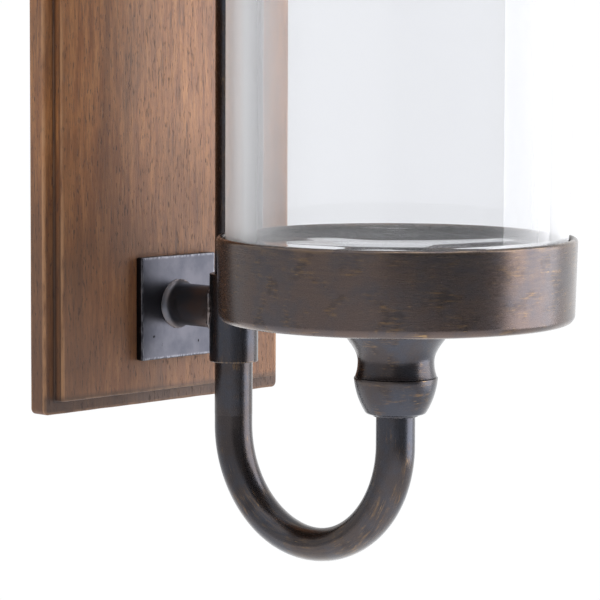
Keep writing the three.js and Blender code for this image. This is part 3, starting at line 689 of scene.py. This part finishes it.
# %% [markdown]
# ## Brackets
# A bracket is a square plate, a stub of round bar and a collar, joined with two beads of weld. The
# beads are their own pieces: one runs round the stub on the plate, the other follows the saddle where
# the bar meets the collar's round, y = collar axis + sqrt(R^2 - x^2). Their radius wanders like a bead
# laid by hand. The stub's end is cut to the collar's round with a cutter a hair larger than the collar.

# %% Brackets
STUB_RADIUS, COLLAR_RADIUS, COLLAR_BORE = 7.8, 9.0, 7.3
RING_STEPS = 160


def bracket(end):
    plate_low, plate_high = box_mm(f"{end}_wall_plate")
    size, z = plate_high[2] - plate_low[2], (plate_high[2] + plate_low[2]) / 2
    stub_z = middle(f"{end}_bolt")[2]
    collar_low, collar_high = box_mm(f"{end}_collar")
    front, thick = plate_low[1], plate_high[1] - plate_low[1]

    # The last column of each corner is painted shade on the plate's back edge and sides.
    plate = framed(f"{end}_plate", [
        (5, 0, 0, 0, 0.4), (0, 0, 0.4, 0, 1), (0, thick - 0.55, 0, 0, 0.85), (0, thick, 0.5, 1, 0),
        (1.2, thick, 0, 0, 0), (5, thick, 0, 0, 0),
    ], (0, z), plate_high[1], size, size, 0.9, uneven=0.1, seed=7, side_steps=30)
    bored(plate, drill(BOLT_HOLE, plate_high[1] + 1, 6, 0, stub_z))
    finished(plate, BLUED, f"{end}_wall_plate")

    start = front - 0.2
    reach = start - (ROD_Y + 5)
    outline, _ = eased([(0, 0, 0), (STUB_RADIUS + 1.3, 0, 0), (STUB_RADIUS, 1.5, 1.4),
                        (STUB_RADIUS, reach, 0), (0, reach, 0)])
    dents = lambda angle, h: ripple(angle + 0.35 * h, 12, 0.10, (2, 3, 5)) * (h > 1.7)
    stub = turned(f"{end}_stub_bar", outline, (0, start, stub_z), 96, axis="y", wrap=False, radial=dents,
                  lay="along")
    collar_z = (collar_low[2] + collar_high[2]) / 2
    saddle = np.array([[0, -30], [COLLAR_RADIUS + 0.15, -30], [COLLAR_RADIUS + 0.15, 30], [0, 30]], float)
    bored(stub, turned("cutter", saddle, (0, ROD_Y, collar_z), 96, wrap=False),
          drill(BOLT_HOLE, start + 1, 13.3, 0, stub_z))
    finished(stub, STUB_BRONZE, f"{end}_stub")

    a = np.linspace(0, 2 * np.pi, RING_STEPS, endpoint=False)
    x, up = np.cos(a), np.sin(a)
    foot_r = STUB_RADIUS + 1.1
    foot = np.stack([foot_r * x, np.full_like(a, front), stub_z + foot_r * up], 1)
    finished(swept(f"{end}_plate_weld", foot, 0.32, seed=21, uneven=0.9), STUB_BRONZE, body="board")
    sx = (STUB_RADIUS + 0.1) * x
    saddle_y = ROD_Y + np.sqrt((COLLAR_RADIUS + 0.35) ** 2 - sx ** 2)
    joint = np.stack([sx, saddle_y, stub_z + (STUB_RADIUS + 0.1) * up], 1)
    finished(swept(f"{end}_collar_weld", joint, 0.85, seed=33, uneven=0.6), STUB_BRONZE, body="board")

    low, high = collar_low[2] - collar_z, collar_high[2] - collar_z
    outline, values = eased([
        (COLLAR_BORE, low, 0.2, 0), (COLLAR_RADIUS, low, 0.35, 0.8), (COLLAR_RADIUS, low + 0.6, 0, 0),
        (COLLAR_RADIUS, high - 0.6, 0, 0), (COLLAR_RADIUS, high, 0.35, 0.8), (COLLAR_BORE, high, 0.2, 0),
    ])
    collar = turned(f"{end}_collar_tube", outline, (0, ROD_Y, collar_z), 120,
                    values={"worn": values[:, 0]}, lay="along")
    finished(collar, ARM_BRONZE, f"{end}_collar")


for end in ENDS:
    bracket(end)

# %% [markdown]
# ## Fixings on the back
# The bolts have hexagon heads with a chamfered top: the radius of a hexagon is apothem / cos(angle to
# the nearest flat), and the chamfer lowers the top where that radius passes the apothem. Washers are
# turned rings. The hangers are flat steel with a keyhole, let in flush, each held by two countersunk
# screws with a cross recess.

# %% Bolts and washers
BOLT_HEAD, HEAD_APOTHEM, BOLT_SHANK, WASHER_RADIUS = 4.0, 5.02, 3.0, 9.0


def washer_outline(inner, outer, thick):
    """The section of a flat ring with its edges broken."""
    return eased([(inner, 0, 0.15), (outer, 0, 0.3), (outer, thick, 0.3), (inner, thick, 0.15)])[0]


def bolt(end):
    low, high = box_mm(f"{end}_bolt")
    z, length = (low[2] + high[2]) / 2, high[1] - low[1]
    sides = 144
    angle = np.linspace(0, 2 * np.pi, sides, endpoint=False)
    hexagon = HEAD_APOTHEM / np.cos((angle % (np.pi / 3)) - np.pi / 6)
    flat = HEAD_APOTHEM * 0.95
    chamfer = 0.55 * (hexagon - flat)
    one = np.ones(sides)
    rows = [(0 * one, 0 * one), (0.55 * flat * one, 0 * one), (flat * one, 0 * one), (hexagon, chamfer),
            (hexagon, (BOLT_HEAD - 0.15) * one), (hexagon - 0.15, BOLT_HEAD * one),
            (BOLT_SHANK * one, BOLT_HEAD * one), (BOLT_SHANK * one, (length - 0.6) * one),
            ((BOLT_SHANK - 0.6) * one, length * one), (0 * one, length * one)]
    grid = np.stack([np.stack([r * np.cos(angle), high[1] - h, z + r * np.sin(angle)], -1) for r, h in rows])
    finished(surface(f"{end}_hex_bolt", grid), ZINC, f"{end}_bolt", sharp=25)

    low, high = box_mm(f"{end}_washer")
    outline = washer_outline(BOLT_HOLE, WASHER_RADIUS, high[1] - low[1])
    finished(turned(f"{end}_flat_washer", outline, (0, high[1], z), 96, axis="y"), ZINC, f"{end}_washer")


for end in ENDS:
    bolt(end)


# %% Hangers and their screws
def hanger(end):
    low, high = box_mm(f"{end}_hanger")
    z, thick = (low[2] + high[2]) / 2, high[1] - low[1]
    plate = framed(f"{end}_keyhole_hanger", [
        (4, 0, 0, 0, 0), (0, 0, 0.25, 1, 0), (0, thick, 0.1, 0, 0), (4, thick, 0, 0, 0),
    ], (0, z), high[1], high[0] - low[0], high[2] - low[2], 0.8)
    keyhole = [drill(5, 1, 4, 0, z), block((-2.4, 1, z), (2.4, -4, z + 10)), drill(2.4, 1, 4, 0, z + 10)]
    cone = np.array([[0, -1], [3.3, -1], [3.3, 0], [1.8, 1.5], [1.8, 4], [0, 4]], float)
    sinks = [turned("cutter", cone, (0, high[1], z + reach), 48, axis="y", wrap=False)
             for reach in SCREW_REACHES]
    finished(bored(plate, *keyhole, *sinks), ZINC, f"{end}_hanger")
    for index in (1, 2):
        node = f"{end}_hanger_screw_{index}"
        top, screw_z = box_mm(node)[1][1], middle(node)[2]
        outline, _ = eased([(0, 0, 0), (3, 0, 0.15), (1.5, 1.5, 0.3), (1.5, 7.5, 0), (0.5, 9, 0), (0, 9, 0)])
        screw = turned(f"{node}_cross", outline, (0, top, screw_z), 48, axis="y", wrap=False)
        cross = [block((-wide, top + 1, screw_z - tall), (wide, top - 0.9, screw_z + tall))
                 for wide, tall in ((1.7, 0.32), (0.32, 1.7))]
        finished(bored(screw, *cross), ZINC, node)


for end in ENDS:
    hanger(end)
print("pieces on the board:", len(FINISHED))

# %% [markdown]
# ## The arm
# The rod is a plain tube. The hook goes on from it: down, half a turn of 40 mm radius, and up into the
# neck. A tube that is bent cold goes oval, most of all at the bottom of the bend, and its inner side
# goes flatter than its outer side. So the section is (1 - f) r cos a towards the bend's centre and
# (1 + f/2) r sin a sideways, with f growing as the square of the sine of the bend angle.

# %% Rod
TUBE_RADIUS, TUBE_BORE = 7.0, 5.5
ROD_LOW, ROD_HIGH = box_mm("rod")
outline, values = eased([(TUBE_BORE, ROD_LOW[2], 0, 0), (TUBE_RADIUS, ROD_LOW[2], 0.03, 0),
                         (TUBE_RADIUS, ROD_HIGH[2], 0.4, 0), (TUBE_BORE, ROD_HIGH[2], 0.2, 0)])
rod = turned("rod_tube", outline, (0, ROD_Y, 0), 96, values={"worn": values[:, 0]}, lay="along")
finished(rod, ARM_BRONZE, "rod")

# %% Hook
BEND_RADIUS = (ROD_Y - TRAY_Y) / 2
BEND_Y = (ROD_Y + TRAY_Y) / 2
HOOK_LOW, HOOK_HIGH = box_mm("hook")
FLATTENING = 0.12
BEND_Z = HOOK_LOW[2] + BEND_RADIUS + TUBE_RADIUS * (1 - FLATTENING)


def along_hook(s):
    """Place on the centre line at distance s, and the direction towards the bend's centre."""
    down = ROD_LOW[2] - BEND_Z
    angle = np.clip((s - down) / BEND_RADIUS, 0, np.pi)
    before, after = np.clip(down - s, 0, None), np.clip(s - down - np.pi * BEND_RADIUS, 0, None)
    y = BEND_Y + BEND_RADIUS * np.cos(angle)
    z = BEND_Z - BEND_RADIUS * np.sin(angle) + before + after
    inward = np.stack([0 * s, -np.cos(angle), np.sin(angle)], -1)
    return np.stack([0 * s, y, z], -1), inward, np.sin(angle) ** 2


HOOK_LENGTH = (ROD_LOW[2] - BEND_Z) + np.pi * BEND_RADIUS + (HOOK_HIGH[2] - BEND_Z)
HOOK_STEPS, HOOK_SIDES = 190, 72
s = np.linspace(0, HOOK_LENGTH, HOOK_STEPS)
track = np.concatenate([s, s[::-1]])
wall = np.repeat([TUBE_RADIUS, TUBE_BORE], HOOK_STEPS)[:, None]
a = np.linspace(0, 2 * np.pi, HOOK_SIDES, endpoint=False)[None]
line, inward, bend = along_hook(track)
flat = FLATTENING * bend[:, None]
inner_side = np.clip(np.cos(a), 0, None)
dents = 0.05 * np.sin(track[:, None] / 9 + 2 * a) * np.sin(track[:, None] / 23) - 0.05
towards = (wall + dents) * np.cos(a) * (1 - flat * (1 + 0.3 * inner_side ** 4))
sideways = (wall + dents) * np.sin(a) * (1 + flat / 2)
grid = line[:, None] + towards[..., None] * inward[:, None] + sideways[..., None] * np.array([1.0, 0, 0])
brush = np.stack([wall * np.cos(a), wall * np.sin(a), np.repeat(track[:, None] * SQUEEZE, HOOK_SIDES, 1)], -1)
rub = bend[:, None] * (0.35 + 0.65 * np.cos(a - 2.6) ** 2) * 0.5
hook = surface("hook_tube", grid, wrap_rows=True, values={"brush": brush * MM, "worn": rub})
finished(hook, ARM_BRONZE, "hook")
print(f"hook: {HOOK_LENGTH:.0f} mm of tube, lowest point z {grid[..., 2].min():.1f}")

# %% [markdown]
# The neck is turned: a thin lip under the pan, a cove down to the waist, a sharp ridge with a fine line
# cut above it, and a cup that rounds in to a socket. The hook's end goes up into the socket and is
# welded round the mouth.

# %% Neck
NECK_TOP = box_mm("neck")[1][2]
NECK_LENGTH = NECK_TOP - box_mm("neck")[0][2]
TOP_R, WAIST_R, RIDGE_R, FOOT_R, SOCKET_R, SCREW_R = 21.0, 13.55, 14.85, 10.6, 7.3, 2.8
WAIST_H, RIDGE_H, SOCKET_DEPTH = -14.2, -20.0, 14.0
foot_h = -NECK_LENGTH
parts = [
    [(SCREW_R, foot_h + SOCKET_DEPTH), (SOCKET_R, foot_h + SOCKET_DEPTH), (SOCKET_R, foot_h)],
    bezier([(FOOT_R - 1, foot_h), (FOOT_R + 0.1, foot_h), (FOOT_R + 0.6, foot_h + 1.2)], 8),
    bezier([(FOOT_R + 0.6, foot_h + 1.2), (14.2, (foot_h + RIDGE_H) / 2), (RIDGE_R, RIDGE_H - 0.2)], 16),
    [(RIDGE_R - 0.05, RIDGE_H + 0.15), (RIDGE_R - 0.5, RIDGE_H + 0.35), (RIDGE_R - 0.4, RIDGE_H + 0.6)],
    bezier([(RIDGE_R - 0.4, RIDGE_H + 0.6), (WAIST_R, -17.2), (WAIST_R, WAIST_H)], 12),
    bezier([(WAIST_R, WAIST_H), (WAIST_R, 0.7 * WAIST_H), (WAIST_R + 3.25, 0.535 * WAIST_H),
            (TOP_R - 0.1, -0.95)], 22),
    bezier([(TOP_R - 0.1, -0.95), (TOP_R, -0.9), (TOP_R, -0.7)], 4),
    [(TOP_R, -0.1), (TOP_R - 0.1, 0), (SCREW_R, 0)],
]
outline = np.concatenate([np.array(part, float) for part in parts])
worn = 0.5 * np.exp(-((outline[:, 1] - RIDGE_H + 0.6) / 0.5) ** 2) * (outline[:, 0] > 12)
neck = turned("neck_turned", outline, (0, TRAY_Y, NECK_TOP), 112, values={"worn": worn})
finished(neck, ARM_BRONZE, "neck")

a = np.linspace(0, 2 * np.pi, RING_STEPS, endpoint=False)
weld_r, weld_z = SOCKET_R + 0.15, NECK_TOP - NECK_LENGTH - 0.15
mouth = np.stack([weld_r * np.cos(a), TRAY_Y + weld_r * np.sin(a), np.full_like(a, weld_z)], 1)
finished(swept("neck_weld", mouth, 0.75, seed=52, uneven=0.5), ARM_BRONZE, body="arm")

# %% [markdown]
# ## The pan
# The pan is spun from sheet: a rounded bottom edge, a wall that leans out very slightly, and a rolled
# rim. A second disc lies inside it as a floor, and one screw from above holds both to the neck.

# %% Pan, floor, screw and felt
PAN_R, PAN_H, PAN_WALL, TAPER, BOTTOM_ROUND = 63.5, 29.8, 2.7, 0.7, 3.0
RECESS_R, RECESS_H = PAN_R - PAN_WALL, 8.6
base_r = PAN_R - TAPER
pan_outline = np.concatenate([
    [(SCREW_R, -PAN_H), (30, -PAN_H), (base_r - BOTTOM_ROUND - 4, -PAN_H)],
    arc((base_r - BOTTOM_ROUND, BOTTOM_ROUND - PAN_H), BOTTOM_ROUND, -90, 0, 12),
    [(PAN_R, -1.9)],
    arc((PAN_R - PAN_WALL / 2, -PAN_WALL / 2), PAN_WALL / 2, 0, 180, 20),
    [(RECESS_R, -RECESS_H - 3.2), (RECESS_R - TAPER - PAN_WALL, 2 * PAN_WALL - PAN_H),
     (RECESS_R - TAPER - 2 * PAN_WALL, PAN_WALL - PAN_H), (SCREW_R, PAN_WALL - PAN_H)],
]).astype(float)
rim_worn = 0.9 * np.exp(-((pan_outline[:, 1] + 0.6) / 1.1) ** 2)
worn = rim_worn + 0.35 * np.exp(-((pan_outline[:, 1] + PAN_H) / 1.5) ** 2)
pan = turned("pan", pan_outline, (0, TRAY_Y, RIM_Z), 192, values={"worn": worn},
             radial=lambda angle, h: (ripple(angle, 61, 0.05, (2, 3, 4)) - 0.06) * (h > -PAN_H + 1))
finished(pan, PAN_BRONZE, "tray")

FLOOR_Z = box_mm("tray_floor")[1][2]
outline, values = eased([(SCREW_R, -3, 0, 0), (RECESS_R - 0.3, -3, 0.3, 0), (RECESS_R - 0.3, 0, 0.5, 0.4),
                         (5.3, 0, 0, 0), (SCREW_R, -2.5, 0, 0)])
floor_disc = turned("pan_floor", outline, (0, TRAY_Y, FLOOR_Z), 160, values={"worn": values[:, 0]})
finished(floor_disc, PAN_BRONZE, "tray_floor")

screw_low, screw_high = box_mm("tray_screw")
length = screw_high[2] - screw_low[2]
outline, _ = eased([(0, -length, 0), (0.9, -length, 0), (2.5, 2.5 - length, 0), (2.5, -2.5, 0.4),
                    (5, 0, 0.15), (2.0, 0, 0), (1.7, -1.6, 0), (0, -1.6, 0)])
screw = turned("pan_screw", outline, (0, TRAY_Y, screw_high[2]), 48, wrap=False)
finished(screw, ZINC, "tray_screw")

felt_low, felt_high = box_mm("felt_ring")
felt_r = (felt_high[0] - felt_low[0]) / 2
hole_r = felt_r - 22
outline, _ = eased([(hole_r, 0, 0.1), (felt_r, 0, 0.1), (felt_r, 1, 0.35), (hole_r, 1, 0.35)])
felt = turned("felt", outline, (0, TRAY_Y, felt_low[2]), 144,
              radial=lambda angle, h: ripple(angle, 71, 0.12, (7, 19, 37, 53)))
finished(felt, FELT, "felt_ring")

# %% [markdown]
# ## Swivel washer and finial
# On top of the upper collar lies a thin brass washer, and on it the finial that closes the rod: a
# turned base, a short neck and a ball, pinched to the rod by a set screw. The whole arm hangs from it
# and turns on the washer.

# %% Finial
washer_z = box_mm("swivel_washer")[0][2]
outline = washer_outline(COLLAR_BORE, COLLAR_RADIUS, 1)
finished(turned("brass_washer", outline, (0, ROD_Y, washer_z), 96), BRASS, "swivel_washer")

FINIAL_Z = box_mm("finial")[0][2]
SET_SCREW_Z = FINIAL_Z + 3.5
BASE_R, BASE_H, FINIAL_NECK_R, BALL_R = 10.4, 9.0, 4.2, 6.2
neck_top = BASE_H + 1.5
start = -math.degrees(math.acos(FINIAL_NECK_R / BALL_R))
ball_h = neck_top - BALL_R * math.sin(math.radians(start))
outline = np.concatenate([
    [(0, 7), (COLLAR_BORE, 7), (COLLAR_BORE, 0.2), (COLLAR_BORE + 0.2, 0), (BASE_R - 0.4, 0)],
    bezier([(BASE_R - 0.4, 0), (BASE_R, 0), (BASE_R, 0.4)], 5),
    [(BASE_R, BASE_H - 2.5)],
    bezier([(BASE_R, BASE_H - 2.5), (BASE_R, BASE_H), (FINIAL_NECK_R + 0.4, BASE_H)], 12),
    bezier([(FINIAL_NECK_R + 0.4, BASE_H), (FINIAL_NECK_R, BASE_H), (FINIAL_NECK_R, BASE_H + 0.4)], 4),
    arc((0, ball_h), BALL_R, start, 90, 28),
]).astype(float)
worn = 0.5 * np.exp(-((outline[:, 1] - BASE_H + 1.5) / 0.9) ** 2) * (outline[:, 0] > 9)
finial = turned("finial_turned", outline, (0, ROD_Y, FINIAL_Z), 96, wrap=False, values={"worn": worn})
finished(bored(finial, drill(1.9, ROD_Y, 14, 0, SET_SCREW_Z)), ARM_BRONZE, "finial")

pin_low, pin_high = box_mm("finial_set_screw")
length = pin_high[1] - pin_low[1]
outline, _ = eased([(0, 0, 0), (1.6, 0, 0.2), (1.6, length, 0.25), (0.85, length, 0), (0.85, length - 1.2, 0),
                    (0, length - 1.2, 0)])
pin = turned("set_screw", outline, (0, pin_high[1], SET_SCREW_Z), 36, axis="y", wrap=False)
finished(pin, ZINC, "finial_set_screw")

# %% [markdown]
# ## The glass
# A blown cylinder with a closed bottom: a rounded heel outside, a smaller round inside, and a rim that
# was melted smooth. It is one closed skin, so light bends in it as in the real thing, and the wall
# wavers by a few hundredths of a millimetre, which is what makes reflections in real glass move.

# %% Glass
GLASS_LOW, GLASS_HIGH = box_mm("glass")
GLASS_R, GLASS_WALL, HEEL = (GLASS_HIGH[0] - GLASS_LOW[0]) / 2, 2.8, 5.0
glass_h = GLASS_HIGH[2] - GLASS_LOW[2]
bore, rim = GLASS_R - GLASS_WALL, GLASS_WALL / 2
inner_heel = HEEL - GLASS_WALL
outline = np.concatenate([
    [(0, 0.5), (18, 0.45), (36, 0.2)],
    bezier([(44, 0.05), (50, 0), (GLASS_R - HEEL, 0)], 5),
    arc((GLASS_R - HEEL, HEEL), HEEL, -90, 0, 16),
    np.stack([np.full(12, GLASS_R), np.linspace(HEEL + 8, glass_h - rim - 4, 12)], 1),
    arc((GLASS_R - rim, glass_h - rim), rim, 0, 180, 16),
    np.stack([np.full(12, bore), np.linspace(glass_h - rim - 4, GLASS_BOTTOM + inner_heel + 6, 12)], 1),
    arc((bore - inner_heel, GLASS_BOTTOM + inner_heel), inner_heel, 0, -90, 12),
    [(44, GLASS_BOTTOM), (30, GLASS_BOTTOM), (15, GLASS_BOTTOM), (0, GLASS_BOTTOM)],
]).astype(float)
waver = lambda angle, h: 0.03 * np.sin(2 * angle + h / 31) * np.sin(3 * angle - h / 47) * (h > 8)
glass = turned("glass_cylinder", outline, (0, TRAY_Y, GLASS_LOW[2]), 200, wrap=False, radial=waver)
finished(glass, GLASS, "glass", sharp=60)

# %% [markdown]
# ## What stays from the CAD
# The plug inside the rod's seam and the spacer between pan and floor are never seen, and their CAD
# shapes are right as they are. They only get their finish.

# %% Hidden pieces
for node in ("rod_plug", "tray_spacer"):
    kept = frame["nodes"][node]
    kept.data.materials.clear()
    kept.data.materials.append(ZINC)
stood_for = {name for piece in FINISHED for name in piece.get("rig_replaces", [])}
print("pieces made:", len(FINISHED), "CAD nodes kept:", sorted(set(frame["nodes"]) - stood_for))

# %% [markdown]
# ## The studio
# A pale floor far below, as for something that hangs at head height, and a white surround. The metal
# shows what is around it, so the room matters more than the lamps: dark in front, paler on the left and
# behind, bright on the far right and overhead. One big soft light on the right draws the bright band down
# every round piece. The eye itself, and what it sees through glass, meets plain white.

# %% Surround
sky = Graph("studio", bpy.data.worlds)
bpy.context.scene.world = sky.owner
ray = sky.node("ShaderNodeTexCoord", output="Generated")


def lobe(direction, low, high=1.0):
    """How far a direction of view points one way: the dot product, smoothed from low to high."""
    aim = tuple(Vector(direction).normalized())
    return sky.node("ShaderNodeVectorMath", {"operation": "DOT_PRODUCT"}, {0: ray, 1: aim},
                    output="Value").between(low, high)


light = 0.27 + 0.60 * lobe((-0.68, 0.73, 0), 0.0, 0.32)
light = light + 1.2 * lobe((0.975, 0.217, 0), 0.75, 0.95)
light = light + 0.7 * lobe((0, 0, 1), 0.3)
camera_ray, through_glass = (sky.node("ShaderNodeLightPath", output=name)
                             for name in ("Is Camera Ray", "Is Transmission Ray"))
seen = camera_ray.math("MAXIMUM", camera_ray, through_glass)
level = sky.node("ShaderNodeMix", {"data_type": "FLOAT"}, {0: seen, 2: light, 3: 1.02})
back = sky.node("ShaderNodeBackground", None, {"Color": colour(0.985, 0.99, 1.0), "Strength": level})
sky.node("ShaderNodeOutputWorld", None, {"Surface": back})


# %% Lamps
def soft_light(name, place, aim, width, height, power, tint=(1, 1, 1)):
    """A rectangular soft box at place, turned towards aim."""
    lamp = bpy.data.lights.new(name, "AREA")
    lamp.shape, lamp.size, lamp.size_y = "RECTANGLE", width, height
    lamp.energy, lamp.color = power, tint
    made = bpy.data.objects.new(name, lamp)
    made.location = place
    made.rotation_euler = (Vector(aim) - Vector(place)).to_track_quat("-Z", "Y").to_euler()
    made.visible_camera = made.visible_transmission = False
    bpy.context.scene.collection.objects.link(made)
    return made


soft_light("right_box", (0.87, -0.91, 0.10), (0.0, -0.08, -0.08), 1.05, 1.5, 24, (0.96, 0.97, 1.0))
soft_light("top_box", (0.1, -0.5, 1.3), (0.0, -0.08, 0.0), 1.0, 1.0, 8)

# %% Floor
FLOOR_LOW, HALF_FLOOR = -1.55, 4.5
floor = bpy.data.meshes.new("floor")
floor.from_pydata([(x * HALF_FLOOR, y * HALF_FLOOR, FLOOR_LOW)
                   for x, y in ((-1, -1), (1, -1), (1, 1), (-1, 1))], [], [(0, 1, 2, 3)])
floor_object = bpy.data.objects.new("floor", floor)
bpy.context.scene.collection.objects.link(floor_object)
g = Graph("floor")
paint = g.noise(g.place(), 3.0, 3.0)
floor.materials.append(g.finish(
    Base_Color=g.blend(paint, colour(0.90, 0.90, 0.90), colour(0.94, 0.94, 0.94)), Roughness=0.9,
    Emission_Color=colour(1, 1, 1), Emission_Strength=0.75))

# %% [markdown]
# ## The camera
# It stands to the left and a little above the pan, at head height before the wall. A long lens keeps
# upright lines nearly parallel, and a quarter of a degree of roll sets them true.

# %% Camera
AZIMUTH, ELEVATION, CAMERA_ROLL = math.radians(-46.87), math.radians(5.64), 0.24
camera = bpy.data.cameras.new("camera")
camera.lens, camera.sensor_width = 192.0, 36.0
camera.clip_start, camera.clip_end = 0.05, 50.0
camera_object = bpy.data.objects.new("camera", camera)
backwards = Vector((math.sin(AZIMUTH) * math.cos(ELEVATION), -math.cos(AZIMUTH) * math.cos(ELEVATION),
                    math.sin(ELEVATION)))
camera_object.location = (-0.8411, -0.8654, -0.0730)
level = (-backwards).to_track_quat("-Z", "Y")
camera_object.rotation_euler = (level @ Quaternion((0, 0, 1), math.radians(CAMERA_ROLL))).to_euler()
bpy.context.scene.collection.objects.link(camera_object)
bpy.context.scene.camera = camera_object
bpy.context.scene.view_settings.view_transform = "Standard"
bpy.context.scene.view_settings.look = "None"
